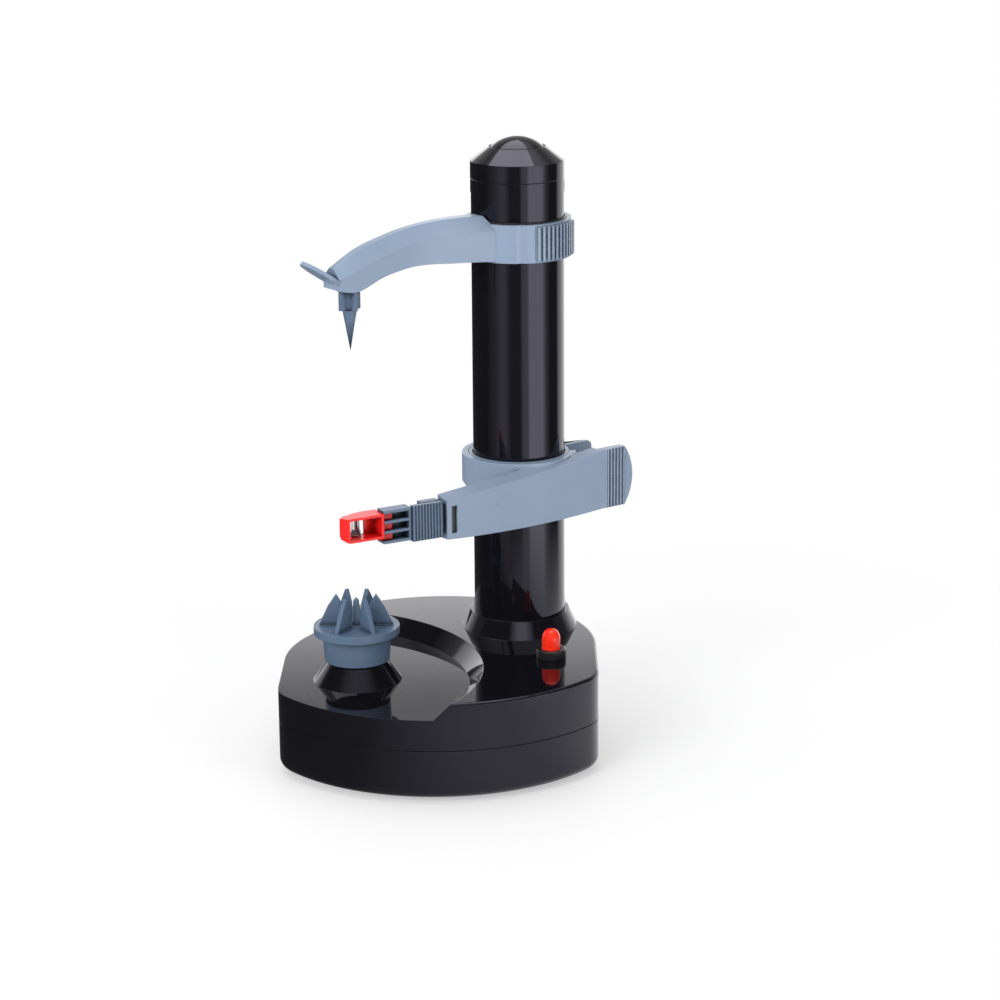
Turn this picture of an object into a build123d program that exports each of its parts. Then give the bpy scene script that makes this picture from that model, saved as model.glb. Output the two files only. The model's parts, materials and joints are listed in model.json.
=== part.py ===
from build123d import *
from math import acos, cos, floor, pi, radians, sin, sqrt, tan
import os

os.makedirs("parts", exist_ok=True)

# Electric fruit peeler: a food holder turns on the base while a blade on a sprung arm
# is lowered down the column by a lead screw. Millimetres, +Z up, the feet stand on z = 0.

# Drive train, its coarse gears sized from the base, which sets the distance of the two axes
half_width_modules = 60.4
spindle_teeth = 48
idler_teeth = 44
screw_teeth = 19
output_teeth = 12
fine_module = 0.6
reduction_teeth = 50
pinion_teeth = 10
pressure_angle = 25.0
addendum_share = 0.8
dedendum_share = 1.05
backlash_share = 0.08
gear_width = 5.0
fine_gear_width = 2.2
gear_gap = 0.8

# Fits between pieces
running_fit = 0.06
slide_fit = 0.1
seat_fit = 0.02
clearance = 0.3
overrun = 5.0

# Base
base_x = -9.3
base_y = 6.25
line_angle = 37.2
base_half_width = 75.5
front_bow = 15.5
front_depth = 88.0
front_corner_radius = 22.0
foot_height = 2.0
seam_height = 25.5
seam_gap = 0.4
tray_height = 40.7
deck_height = 48.7
base_wall = 2.4
bottom_edge = 5.0
rim_edge = 0.8
deck_edge = 1.4
tongue_wall = 1.4
tongue_height = 2.4
tray_centre_x = -73.0
tray_centre_y = -38.0
tray_top_radius = 94.0
tray_foot_radius = 87.5
boss_radius = 4.2
screw_radius = 1.5
screw_head_radius = 2.9
screw_head_height = 2.2
screw_bite = 9.0
foot_radius = 6.5
foot_recess = 1.2
post_radius = 3.4

# Battery bay
cell_radius = 7.1
cell_length = 49.2
cell_pitch = 14.9
cell_count = 4
cell_nub_radius = 2.7
cell_nub_length = 1.2
contact_room = 3.2
contact_wall = 0.5
bay_x = -8.0
bay_y = 30.0
bay_wall = 1.6
door_wall = 2.0
door_tab_length = 8.0
door_tab_width = 14.0

# Gear plate and motor
plate_bottom = 27.2
plate_wall = 2.0
plate_half_width = 12.0
axle_radius = 2.0
motor_radius = 10.1
motor_flat = 7.6
motor_bottom = 4.9
motor_shaft_radius = 1.0
motor_collar_radius = 3.0
motor_collar_height = 1.4
motor_turn = 73.0

# Spindle, conical boss and food holder
spindle_radius = 4.0
cone_foot_radius = 21.0
cone_top_radius = 14.3
cone_top = 50.3
neck_radius = 9.0
neck_top = 57.0
bush_radius = 5.8
bush_height = 10.0
cup_bottom = 51.0
cup_foot_radius = 15.5
cup_top_radius = 16.2
cup_wall = 1.8
rim_bottom = 64.0
rim_top = 67.8
rim_radius = 20.3
prong_count = 6
prong_wall = 2.2
prong_foot_radius = 17.8
prong_shoulder_radius = 13.4
prong_shoulder = 77.0
prong_tip_radius = 9.4
prong_tip = 83.0
prong_inner_radius = 6.0
hub_radius = 7.0
pip_radius = 2.6
pip_top = 80.0

# Column
column_radius = 22.35
column_wall = 2.2
tube_seat = 41.0
seat_wall = 3.0
skirt_radius = 28.1
skirt_top_radius = 24.2
skirt_top = 57.2
slot_width = 7.0
slot_bottom = 62.0
slot_margin = 7.0
total_height = 290.0
cap_dome_rise = 4.8
cap_slope_height = 6.6
cap_band_height = 8.1
cap_rim_radius = 13.4
plug_groove = 0.9
cap_wall = 2.4
spigot_length = 9.0
screw_shaft_radius = 4.0
screw_margin = 4.5
journal_radius = 2.6
screw_bush_radius = 6.4
screw_bush_height = 6.0

# Upper arm
upper_ring_drop = 56.5
upper_ring_height = 18.0
upper_ring_radius = 25.6
liner_wall = 0.9
liner_rise = 0.7
grip_radius = 26.2
grip_rib_count = 12
grip_rib_angle = 5.3
grip_rib_depth = 1.0
grip_rib_width = 1.25
grip_centre_angle = 76.0
flute_radius = 5.0
flute_depth = 0.7
flute_angle = -123.0
upper_half_width = 6.5
ridge_share = 0.3
leaf_length = 25.6
leaf_half_width = 7.6
leaf_wall = 1.7
leaf_foot_overhang = 3.6
leaf_foot_drop = 3.9
leaf_tilt_angle = 33.5
spike_fin_radius = 5.5
spike_blade_wall = 1.9
spike_drop = 5.3
spike_fin_height = 9.0
spike_seat_radius = 6.0
spike_root_radius = 3.4
spike_length = 28.4
spike_stem_radius = 2.2
spike_stem_height = 9.6

# The upper arm's sections: distance from the column as a share of the distance of the axes, then
# underside, crease and ridge as shares of the ring's height, and half width as a share
arch_shares = (
    (1.099, -0.206, 0.072, 0.328, 1.0),
    (1.043, -0.278, 0.172, 0.494, 1.0),
    (0.979, -0.278, 0.278, 0.672, 1.0),
    (0.919, -0.161, 0.389, 0.8, 1.0),
    (0.846, -0.011, 0.511, 0.911, 1.0),
    (0.754, 0.094, 0.656, 1.033, 1.0),
    (0.64, 0.156, 0.789, 1.139, 1.03),
    (0.516, 0.133, 0.861, 1.2, 1.25),
    (0.392, 0.094, 0.867, 1.211, 1.54),
    (0.289, 0.061, 0.85, 1.194, 1.77),
    (0.165, 0.011, 0.794, 1.161, 2.04),
)

# Carriage, its heights from the underside of the peel arm's ring
ring_bottom = 122.6
ring_height = 14.4
ring_radius = 27.6
ring_bore = 25.4
ring_lip_radius = 24.4
ring_lip = 2.3
sleeve_radius = 25.32
sleeve_waist = 23.9
waist_rise = 3.4
waist_height = 5.8
flange_radius = 26.6
flange_wall = 1.4
opening_start_angle = -38.0
opening_angle = 41.0
lug_reach = 40.4
lug_across = -6.2
lug_wall = 2.4
lug_drop = 1.2
lug_flange = 9.4
lug_start = 24.0
lug_corner_radius = 3.0
lug_slot_width = 1.3
lug_slot_height = 9.0
nut_height = 10.0
nut_radius = 8.0
nut_rise = 1.4
spring_wire_radius = 0.55
spring_turns = 2.5

# Peel arm, its heights as rises from the underside of its ring
arm_front = 30.0
arm_back = 22.3
arm_end_gap = 31.875
arm_wall = 2.0
arm_bend_share = 0.59
arm_end_bottom_rise = -12.2
arm_end_top_rise = 6.9
arm_end_back_rise = 8.4
arm_bend_bottom_rise = -14.7
arm_bend_top_rise = 10.8
arm_bend_back_rise = 12.6
pad_start = 28.0
pad_bottom_rise = -13.6
pad_top_rise = 15.8
pad_end = 42.0
pad_bulge = 46.9
pad_back = 25.4
pad_rib_start = 31.4
pad_rib_count = 6
pad_rib_pitch = 1.95
pad_rib_radius = 0.6
socket_length = 22.0
catch_gap = 3.0
catch_width = 3.0
catch_bottom_rise = -9.6
catch_top_rise = 3.4

# Blade head, turned inwards from the line of the arm; lengths run outwards from the arm's mouth
head_turn_angle = 8.0
head_rise = -1.7
tongue_half_height = 6.0
tongue_front = 27.9
tongue_back = 23.9
grip_start = 2.0
grip_length = 15.7
grip_half_height = 8.6
grip_front = 31.0
grip_back = 22.6
grip_ribs = 10
grip_rib_rise = 0.7
grip_tab_length = 9.5
grip_groove_width = 1.1
carrier_length = 14.5
carrier_half_height = 7.9
carrier_front = 29.6
carrier_back = 22.8
carrier_web = 1.5
carrier_flange = 1.4
guard_length = 21.0
guard_front = 30.2
guard_back = 20.6
guard_wall = 1.2
guard_half_height = 5.8
guard_rise = 1.0
guard_nose = 2.6
guard_nose_front = 26.5
guard_heel = 12.0
guard_nose_radius = 4.2
guard_chin_radius = 2.0
finger_length = 5.5
finger_depth = 3.0
blade_place = 43.5
blade_half_length = 4.2
blade_half_width = 2.6
blade_wall = 0.5
blade_pin_radius = 0.8
blade_pivot = 22.9
blade_slit = 0.8
blade_slit_half = 2.2
window_half_width = 5.0

# Switch
switch_margin = 22.2
switch_y = -22.2
bezel_radius = 7.15
bezel_height = 4.4
bezel_neck = 6.2
bezel_neck_length = 4.6
button_radius = 4.4
button_top_radius = 3.5
button_top = 62.8
button_travel = 2.4
button_lip = 1.5
button_shoulder = 61.2
button_collar_height = 2.0
button_wire_radius = 0.3
button_turns = 4
button_collar = 5.0
switch_box_width = 12.0
switch_box_depth = 9.0
switch_box_height = 9.0
switch_stem_radius = 1.5

# Adapter inlet
inlet_y = -14.0
inlet_height = 13.8
inlet_radius = 3.0
inlet_depth = 9.0
inlet_barrel = 4.4
inlet_box_width = 9.4
inlet_box_height = 10.6
inlet_pin_radius = 0.9

# Places shared out along the base's half width
screw_place_shares = ((-0.53, -0.875), (0.85, -0.42), (0.86, 0.12), (-0.72, 0.47))
foot_place_shares = ((-0.62, -0.72), (0.62, -0.72), (0.60, 0.62), (-0.64, 0.60))

drive_module = base_half_width / half_width_modules
axis_gap = drive_module * (spindle_teeth + 2 * idler_teeth + screw_teeth) / 2

front_radius = base_half_width + front_bow
cap_rim = total_height - cap_dome_rise
cap_shoulder = cap_rim - cap_slope_height
cap_seam = cap_shoulder - cap_band_height
slot_top = cap_seam - slot_margin
screw_top = cap_seam - screw_margin
upper_ring_bottom = total_height - upper_ring_drop
ring_top = ring_bottom + ring_height
waist_bottom = ring_bottom + waist_rise
waist_top = waist_bottom + waist_height
nut_bottom = ring_bottom + nut_rise
pad_bottom = ring_bottom + pad_bottom_rise
pad_top = ring_bottom + pad_top_rise
arm_end = arm_end_gap - axis_gap


# The direction of an angle seen from above
def direction(angle):
    return (cos(radians(angle)), sin(radians(angle)))


# A plan position, reached from a start by going u along a line and v across it
def reach(start, u, v=0, turn=line_angle):
    x, y = direction(turn)
    return (start[0] + u * x - v * y, start[1] + u * y + v * x)


# A level plane through a plan position, turned to the line of the axes or by another angle
def level(middle, height, turn=line_angle):
    return Plane(
        origin=(middle[0], middle[1], height),
        x_dir=(*direction(turn), 0),
        z_dir=(0, 0, 1),
    )


# An upright plane, x along a line and y up, facing the front, v behind a position
def upright(middle, v=0, turn=line_angle):
    return Plane(
        origin=(*reach(middle, 0, v, turn), 0),
        x_dir=(*direction(turn), 0),
        z_dir=(*direction(turn - 90), 0),
    )


base = (base_x, base_y)
hub = reach(base, -axis_gap / 2)
column = reach(base, axis_gap / 2)
tray_centre = (base_x + tray_centre_x, base_y + tray_centre_y)
switch = (base_x + base_half_width - switch_margin, base_y + switch_y)


# The base's outline seen from above, drawn in by an inset
def footprint(height, inset=0):
    arc_centre_y = front_radius - front_depth
    corner_y = arc_centre_y - sqrt(front_radius**2 - base_half_width**2)
    with BuildSketch(level(base, height, 0), mode=Mode.PRIVATE) as shape:
        with BuildLine():
            CenterArc((0, 0), base_half_width, 0, 180)
            Line((-base_half_width, 0), (-base_half_width, corner_y))
            ThreePointArc((-base_half_width, corner_y), (0, -front_depth), (base_half_width, corner_y))
            Line((base_half_width, corner_y), (base_half_width, 0))
        make_face()
        fillet(shape.vertices().group_by(Axis.Y)[0], front_corner_radius)
        if inset:
            offset(amount=-inset)
    return shape.sketch


# A slab or a cavity with the base's outline, between two heights
def slab(inset, bottom, top, mode=Mode.ADD):
    extrude(footprint(bottom, inset), amount=top - bottom, mode=mode)


# A shape turned round an upright axis through a plan position, from (radius, height) points
def turned(middle, points, mode=Mode.ADD):
    with BuildSketch(upright(middle), mode=Mode.PRIVATE) as profile:
        with BuildLine():
            Polyline(*points, close=True)
        make_face()
    revolve(profile.sketch, axis=Axis((middle[0], middle[1], 0), (0, 0, 1)), mode=mode)


# A round bar or hole between two heights
def bar(middle, radius, bottom, top, mode=Mode.ADD):
    with BuildSketch(level(middle, bottom), mode=Mode.PRIVATE) as disc:
        Circle(radius)
    extrude(disc.sketch, amount=top - bottom, mode=mode)


# A rectangular block between two heights, centred on a plan position
def block(middle, length, width, bottom, top, turn=0, mode=Mode.ADD):
    with BuildSketch(level(middle, bottom, turn), mode=Mode.PRIVATE) as shape:
        Rectangle(length, width)
    extrude(shape.sketch, amount=top - bottom, mode=mode)


# Positions on the base given as shares of its half width
def places(shares):
    return [(base_x + x * base_half_width, base_y + y * base_half_width) for x, y in shares]


# How far an involute has turned away from its base circle at a radius
def involute(radius, base_radius):
    angle = acos(min(1, base_radius / radius))
    return tan(angle) - angle


# One tooth, its involute flanks drawn with straight stretches, pointing along x
def tooth(module, teeth):
    pitch_radius = module * teeth / 2
    base_radius = pitch_radius * cos(radians(pressure_angle))
    root_radius = pitch_radius - dedendum_share * module
    tip_radius = pitch_radius + addendum_share * module
    half_angle = (pi / 2 - backlash_share) / teeth + involute(pitch_radius, base_radius)
    start_radius = max(root_radius, base_radius)
    flank = [(r, half_angle - involute(r, base_radius)) for r in (start_radius, pitch_radius, tip_radius)]
    flank.insert(0, (root_radius - backlash_share * module, flank[0][1]))
    side = [(r * cos(a), r * sin(a)) for r, a in flank]
    mirrored = [(x, -y) for x, y in reversed(side)]
    with BuildSketch(mode=Mode.PRIVATE) as shape:
        with BuildLine():
            Polyline(*side, *mirrored, close=True)
        make_face()
    return shape.sketch


# A spur gear with a tooth centred at the phase, an angle from the x axis
def gear(middle, module, teeth, bottom, width, phase):
    with BuildSketch(level(middle, bottom, 0), mode=Mode.PRIVATE) as shape:
        Circle(module * teeth / 2 - dedendum_share * module)
        with PolarLocations(0, teeth, start_angle=phase):
            add(tooth(module, teeth))
    extrude(shape.sketch, amount=width)


# The phase of a mating gear in a direction from a first gear, so that a gap faces a tooth
def mating_phase(phase, teeth, direction, mate_teeth):
    step = 360 / teeth
    turned_share = (direction - phase) / step
    turned_share -= floor(turned_share)
    return direction + 180 + (turned_share - 1 / 2) * 360 / mate_teeth


# Lower shell of the base: floor, wall, tongue, battery bay, screw bosses and posts
bay_length = cell_length + 2 * contact_room
bay_width = (cell_count - 1) * cell_pitch + 2 * cell_radius + 2 * clearance
cell_height = foot_height + door_wall + clearance + cell_radius
bay_roof = cell_height + cell_radius + clearance
floor_top = foot_height + base_wall
bay = (base_x + bay_x, base_y + bay_y)
screws = places(screw_place_shares)
feet = places(foot_place_shares)
idler = reach(column, -drive_module * (screw_teeth + idler_teeth) / 2)
output = reach(
    idler,
    0,
    -drive_module * (idler_teeth + output_teeth) / 2,
)
fine_gap = fine_module * (reduction_teeth + pinion_teeth) / 2
motor = (
    output[0] + fine_gap * cos(radians(line_angle - motor_turn)),
    output[1] + fine_gap * sin(radians(line_angle - motor_turn)),
)
post_spots = [
    reach(hub, -spindle_radius - post_radius - clearance),
    reach(column, spindle_radius + post_radius + clearance),
    reach(idler, 0, -plate_half_width - post_radius),
    (motor[0], motor[1] - motor_radius - post_radius - clearance),
]
bay_lid = bay_roof + bay_wall

with BuildPart() as base_lower_shell:
    slab(0, foot_height, seam_height)
    fillet(faces().sort_by(Axis.Z)[0].edges(), bottom_edge)
    slab(base_wall, floor_top, seam_height + overrun, Mode.SUBTRACT)
    slab(base_wall - seat_fit, seam_height - 2 * tongue_height, seam_height)
    slab(base_wall + clearance / 2, seam_height, seam_height + tongue_height)
    slab(base_wall + clearance / 2 + tongue_wall, floor_top, seam_height + overrun, Mode.SUBTRACT)
    block(bay, bay_length + 2 * bay_wall, bay_width + 2 * bay_wall, foot_height, bay_lid)
    for spot in screws:
        bar(spot, boss_radius, foot_height, seam_height)
    for spot in post_spots:
        bar(spot, post_radius, foot_height, plate_bottom)
        bar(spot, screw_radius, plate_bottom - screw_bite, plate_bottom + overrun, Mode.SUBTRACT)
    block(bay, bay_length, bay_width, foot_height - overrun, bay_roof, mode=Mode.SUBTRACT)
    for spot in screws:
        bar(spot, screw_radius + slide_fit, foot_height - overrun, seam_height, Mode.SUBTRACT)
        head_top = foot_height + screw_head_height
        bar(spot, screw_head_radius + clearance, foot_height - overrun, head_top, Mode.SUBTRACT)
    for spot in feet:
        bar(spot, foot_radius + seat_fit, foot_height - overrun, foot_height + foot_recess, Mode.SUBTRACT)
    with BuildSketch(Plane.YZ.offset(base_x + base_half_width - base_wall - overrun)):
        with Locations((base_y + inlet_y, inlet_height)):
            Circle(inlet_barrel + seat_fit)
    extrude(amount=base_wall + 2 * overrun, mode=Mode.SUBTRACT)
base_lower_shell.part.label = "base_lower_shell"
export_step(base_lower_shell.part, "parts/base_lower_shell.step")

# Upper shell: deck with the sunken tray, conical boss, column socket, switch seat and bosses
tray_inside = tray_height - base_wall
deck_inside = deck_height - base_wall
bush_bottom = neck_top - bush_height
socket_radius = column_radius + seat_fit + base_wall
socket_bottom = tube_seat - seat_wall
bush_seat_radius = screw_bush_radius + seat_fit

with BuildPart(mode=Mode.PRIVATE) as raised_space:
    slab(base_wall, tray_inside - overrun, deck_inside)
    with BuildSketch(level(tray_centre, tray_inside - overrun, 0)):
        Circle(tray_foot_radius + base_wall)
    with BuildSketch(level(tray_centre, tray_inside, 0)):
        Circle(tray_foot_radius + base_wall)
    with BuildSketch(level(tray_centre, deck_height, 0)):
        Circle(tray_top_radius + base_wall)
    loft(ruled=True, mode=Mode.SUBTRACT)

with BuildPart() as base_upper_shell:
    slab(0, seam_height + seam_gap, deck_height)
    fillet(faces().sort_by(Axis.Z)[-1].edges(), deck_edge)
    with BuildSketch(level(tray_centre, tray_height, 0)):
        Circle(tray_foot_radius)
    with BuildSketch(level(tray_centre, deck_height + rim_edge, 0)):
        Circle(tray_top_radius + rim_edge)
    loft(ruled=True, mode=Mode.SUBTRACT)
    slab(base_wall, seam_height - overrun, tray_inside, Mode.SUBTRACT)
    add(raised_space.part, mode=Mode.SUBTRACT)
    for spot in screws:
        lift = deck_height if spot[0] > base_x else tray_height
        bar(spot, boss_radius, seam_height, lift - base_wall / 2)
    bar(hub, cone_foot_radius - base_wall, tray_inside - overrun, tray_height + overrun, Mode.SUBTRACT)
    turned(
        hub,
        (
            (cone_foot_radius, tray_inside),
            (cone_foot_radius, tray_height),
            (cone_top_radius, cone_top),
            (neck_radius, cone_top),
            (neck_radius, neck_top),
            (bush_radius + seat_fit, neck_top),
            (bush_radius + seat_fit, bush_bottom),
            (spindle_radius + clearance, bush_bottom),
            (spindle_radius + clearance, tray_inside),
            (neck_radius, tray_inside),
            (neck_radius, cone_top - base_wall),
            (cone_top_radius - base_wall, cone_top - base_wall),
            (cone_foot_radius - base_wall, tray_height),
            (cone_foot_radius - base_wall, tray_inside),
        ),
    )
    bar(column, socket_radius, socket_bottom, deck_height)
    turned(
        column,
        (
            (column_radius - column_wall, deck_height - base_wall),
            (skirt_radius, deck_height - base_wall),
            (skirt_radius, deck_height),
            (skirt_top_radius, skirt_top),
            (column_radius - column_wall, skirt_top),
        ),
    )
    bar(column, column_radius + seat_fit, tube_seat, skirt_top + overrun, Mode.SUBTRACT)
    bar(column, bush_seat_radius, socket_bottom - overrun, tube_seat, Mode.SUBTRACT)
    bar(switch, bezel_neck + seat_fit, deck_inside - overrun, deck_height + overrun, Mode.SUBTRACT)
    for spot in screws:
        bar(spot, screw_radius - seat_fit, seam_height - overrun, seam_height + screw_bite, Mode.SUBTRACT)
base_upper_shell.part.label = "base_upper_shell"
export_step(base_upper_shell.part, "parts/base_upper_shell.step")

# Four rubber feet and the case screws, under the floor
with BuildPart() as rubber_feet:
    for spot in feet:
        bar(spot, foot_radius, 0, foot_height + foot_recess)
    chamfer(edges().group_by(Axis.Z)[0], rim_edge / 2)
rubber_feet.part.label = "rubber_feet"
export_step(rubber_feet.part, "parts/rubber_feet.step")

with BuildPart() as base_screws:
    for spot in screws:
        bar(spot, screw_head_radius, foot_height, foot_height + screw_head_height)
        bar(spot, screw_radius - 2 * seat_fit, foot_height, seam_height + screw_bite - clearance)
base_screws.part.label = "base_screws"
export_step(base_screws.part, "parts/base_screws.step")

# Battery door, flush with the floor, with a finger notch
with BuildPart() as battery_door:
    block(bay, bay_length - clearance, bay_width - clearance, foot_height, foot_height + door_wall)
    with BuildSketch(level((bay[0] - bay_length / 2, bay[1]), foot_height - overrun, 0)):
        SlotOverall(2 * door_tab_length, door_tab_width / 2)
    extrude(amount=overrun + door_wall / 2, mode=Mode.SUBTRACT)
battery_door.part.label = "battery_door"
export_step(battery_door.part, "parts/battery_door.step")

# Four cells side by side, each turned end for end from the last
cell_rows = [bay[1] + (i - (cell_count - 1) / 2) * cell_pitch for i in range(cell_count)]
with BuildPart() as battery_cells:
    for i, row in enumerate(cell_rows):
        way = 1 if i % 2 else -1
        with BuildSketch(Plane.YZ.offset(bay[0] - way * cell_length / 2)):
            with Locations((row, cell_height)):
                Circle(cell_radius)
        extrude(amount=way * cell_length)
        with BuildSketch(Plane.YZ.offset(bay[0] + way * cell_length / 2)):
            with Locations((row, cell_height)):
                Circle(cell_nub_radius)
        extrude(amount=way * cell_nub_length)
battery_cells.part.label = "battery_cells"
export_step(battery_cells.part, "parts/battery_cells.step")

# Contact plates at both ends of the bay, each bridging two cells, with a dimple on each cell's axis
with BuildPart() as battery_contacts:
    for side in (-1, 1):
        for pair in (0, 2):
            middle_row = (cell_rows[pair] + cell_rows[pair + 1]) / 2
            with BuildSketch(Plane.YZ.offset(bay[0] + side * bay_length / 2)):
                with Locations((middle_row, cell_height)):
                    Rectangle(cell_pitch + cell_radius, cell_radius)
            extrude(amount=-side * contact_wall)
        for i, row in enumerate(cell_rows):
            nub = cell_nub_length if (i % 2 == 1) == (side == 1) else 0
            with BuildSketch(Plane.YZ.offset(bay[0] + side * (bay_length / 2 - contact_wall))):
                with Locations((row, cell_height)):
                    Circle(cell_nub_radius)
            extrude(amount=-side * (contact_room - contact_wall - nub))
battery_contacts.part.label = "battery_contacts"
export_step(battery_contacts.part, "parts/battery_contacts.step")

# A countersunk screw's half outline, flush with the plate's top, made larger by a gap
def sunk_screw(gap, end):
    return (
        (0, end),
        (screw_radius + gap, end),
        (screw_radius + gap, plate_bottom + rim_edge),
        (screw_head_radius + gap, plate_top),
        (0, plate_top),
    )


# Gear plate: one slotted sheet that carries the axles and hangs the motor
plate_top = plate_bottom + plate_wall
gear_bottom = plate_top + gear_gap
gear_top = gear_bottom + gear_width
fine_bottom = gear_top + gear_gap / 2
fine_top = fine_bottom + fine_gear_width

with BuildPart() as gear_plate:
    with BuildSketch(level(base, plate_bottom)):
        SlotOverall(axis_gap + 2 * plate_half_width, 2 * plate_half_width)
    extrude(amount=plate_wall)
    for start, end in ((idler, output), (output, motor), (motor, post_spots[3])):
        run = Vector(*end) - Vector(*start)
        with BuildSketch(Plane(origin=(*start, plate_bottom), x_dir=(run.X, run.Y, 0), z_dir=(0, 0, 1))):
            SlotCenterPoint((run.length / 2, 0), (run.length, 0), 2 * plate_half_width)
        extrude(amount=plate_wall)
    for spot, radius in (
        (hub, spindle_radius + running_fit),
        (column, journal_radius + running_fit),
        (idler, axle_radius + seat_fit),
        (output, axle_radius + seat_fit),
        (motor, motor_collar_radius + seat_fit),
    ):
        bar(spot, radius, plate_bottom - overrun, plate_top + overrun, Mode.SUBTRACT)
    for spot in post_spots:
        turned(spot, sunk_screw(slide_fit, plate_bottom - overrun), Mode.SUBTRACT)
gear_plate.part.label = "gear_plate"
export_step(gear_plate.part, "parts/gear_plate.step")

# Motor can with two flats, its collar in the plate and its shaft standing above
with BuildPart() as motor_can:
    with BuildSketch(level(motor, motor_bottom)):
        Circle(motor_radius)
        Rectangle(2 * motor_radius, 2 * motor_flat, mode=Mode.INTERSECT)
    extrude(amount=plate_bottom - motor_bottom)
    fillet(edges().group_by(Axis.Z)[-1], rim_edge)
    bar(motor, motor_collar_radius, plate_bottom, plate_bottom + motor_collar_height)
    bar(motor, motor_shaft_radius + running_fit, plate_bottom - screw_bite, plate_top, Mode.SUBTRACT)
motor_can.part.label = "motor"
export_step(motor_can.part, "parts/motor.step")

with BuildPart() as gear_plate_screws:
    for spot in post_spots:
        turned(spot, sunk_screw(-2 * seat_fit, plate_bottom - screw_bite + clearance))
gear_plate_screws.part.label = "gear_plate_screws"
export_step(gear_plate_screws.part, "parts/gear_plate_screws.step")

with BuildPart() as gear_axles:
    bar(idler, axle_radius, plate_bottom, gear_top + gear_gap)
    bar(output, axle_radius, plate_bottom, fine_top + clearance)
gear_axles.part.label = "gear_axles"
export_step(gear_axles.part, "parts/gear_axles.step")

# Gears: each is turned so that its teeth stand in the gaps of the one before
fine_direction = line_angle - motor_turn
idler_phase = mating_phase(0, spindle_teeth, line_angle, idler_teeth)
screw_phase = mating_phase(idler_phase, idler_teeth, line_angle, screw_teeth)
output_phase = mating_phase(idler_phase, idler_teeth, line_angle - 90, output_teeth)
pinion_phase = mating_phase(0, reduction_teeth, fine_direction, pinion_teeth)

with BuildPart() as spindle_gear:
    gear(hub, drive_module, spindle_teeth, gear_bottom, gear_width, 0)
    bar(hub, hub_radius, gear_bottom - gear_gap + slide_fit, gear_top + gear_gap)
    bar(hub, spindle_radius + seat_fit, gear_bottom - overrun, gear_top + overrun, Mode.SUBTRACT)
spindle_gear.part.label = "spindle_gear"
export_step(spindle_gear.part, "parts/spindle_gear.step")

with BuildPart() as idler_gear:
    gear(idler, drive_module, idler_teeth, gear_bottom, gear_width, idler_phase)
    bar(idler, hub_radius, gear_bottom - gear_gap + slide_fit, gear_top + gear_gap / 2)
    bar(idler, axle_radius + running_fit, gear_bottom - overrun, gear_top + overrun, Mode.SUBTRACT)
idler_gear.part.label = "idler_gear"
export_step(idler_gear.part, "parts/idler_gear.step")

with BuildPart() as screw_gear:
    gear(column, drive_module, screw_teeth, gear_bottom, gear_width, screw_phase)
    bar(column, hub_radius, gear_bottom - gear_gap + slide_fit, gear_top + gear_gap)
    bar(column, screw_shaft_radius + seat_fit, gear_bottom - overrun, gear_top + overrun, Mode.SUBTRACT)
screw_gear.part.label = "screw_gear"
export_step(screw_gear.part, "parts/screw_gear.step")

with BuildPart() as reduction_gear:
    coarse_bottom = gear_bottom - gear_gap + slide_fit
    gear(output, drive_module, output_teeth, coarse_bottom, fine_bottom - coarse_bottom, output_phase)
    gear(output, fine_module, reduction_teeth, fine_bottom, fine_gear_width, 0)
    bar(output, axle_radius + running_fit, gear_bottom - overrun, gear_top + overrun, Mode.SUBTRACT)
reduction_gear.part.label = "reduction_gear"
export_step(reduction_gear.part, "parts/reduction_gear.step")

with BuildPart() as motor_pinion:
    pinion_width = fine_gear_width + 2 * clearance
    gear(motor, fine_module, pinion_teeth, fine_bottom - clearance, pinion_width, pinion_phase)
    bar(motor, motor_shaft_radius + seat_fit, gear_bottom, gear_top + overrun, Mode.SUBTRACT)
motor_pinion.part.label = "motor_pinion"
export_step(motor_pinion.part, "parts/motor_pinion.step")

with BuildPart() as motor_shaft:
    bar(motor, motor_shaft_radius, plate_bottom - screw_bite + clearance, fine_top + clearance)
motor_shaft.part.label = "motor_shaft"
export_step(motor_shaft.part, "parts/motor_shaft.step")

# Drive spindle and its bush in the neck of the conical boss
with BuildPart() as drive_spindle:
    bar(hub, spindle_radius, plate_bottom, rim_bottom - clearance)
drive_spindle.part.label = "drive_spindle"
export_step(drive_spindle.part, "parts/drive_spindle.step")

with BuildPart() as spindle_bush:
    bar(hub, bush_radius, bush_bottom, neck_top)
    bar(hub, spindle_radius + running_fit, bush_bottom - overrun, neck_top + overrun, Mode.SUBTRACT)
spindle_bush.part.label = "spindle_bush"
export_step(spindle_bush.part, "parts/spindle_bush.step")

# Food holder: a cup over the neck, a rim, six fin prongs and a centre pip
with BuildPart() as food_holder:
    turned(
        hub,
        (
            (cup_foot_radius - cup_wall, cup_bottom),
            (cup_foot_radius, cup_bottom),
            (cup_top_radius, rim_bottom),
            (rim_radius, rim_bottom),
            (rim_radius, rim_top),
            (pip_radius, rim_top),
            (pip_radius / 2, pip_top),
            (0, pip_top + pip_radius / 2),
            (0, rim_bottom),
            (spindle_radius + seat_fit, rim_bottom),
            (spindle_radius + seat_fit, neck_top + 2 * clearance),
            (hub_radius, neck_top + 2 * clearance),
            (hub_radius, rim_top - cup_wall),
            (cup_top_radius - cup_wall, rim_top - cup_wall),
        ),
    )
    for i in range(prong_count):
        with BuildSketch(upright(hub, 0, i * 360 / prong_count)):
            Polygon(
                (prong_inner_radius, rim_top - cup_wall / 2),
                (prong_foot_radius, rim_top - cup_wall / 2),
                (prong_foot_radius, rim_top),
                (prong_shoulder_radius, prong_shoulder),
                (prong_tip_radius, prong_tip),
                (prong_inner_radius, prong_shoulder),
                align=None,
            )
        extrude(amount=prong_wall / 2, both=True)
food_holder.part.label = "food_holder"
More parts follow.
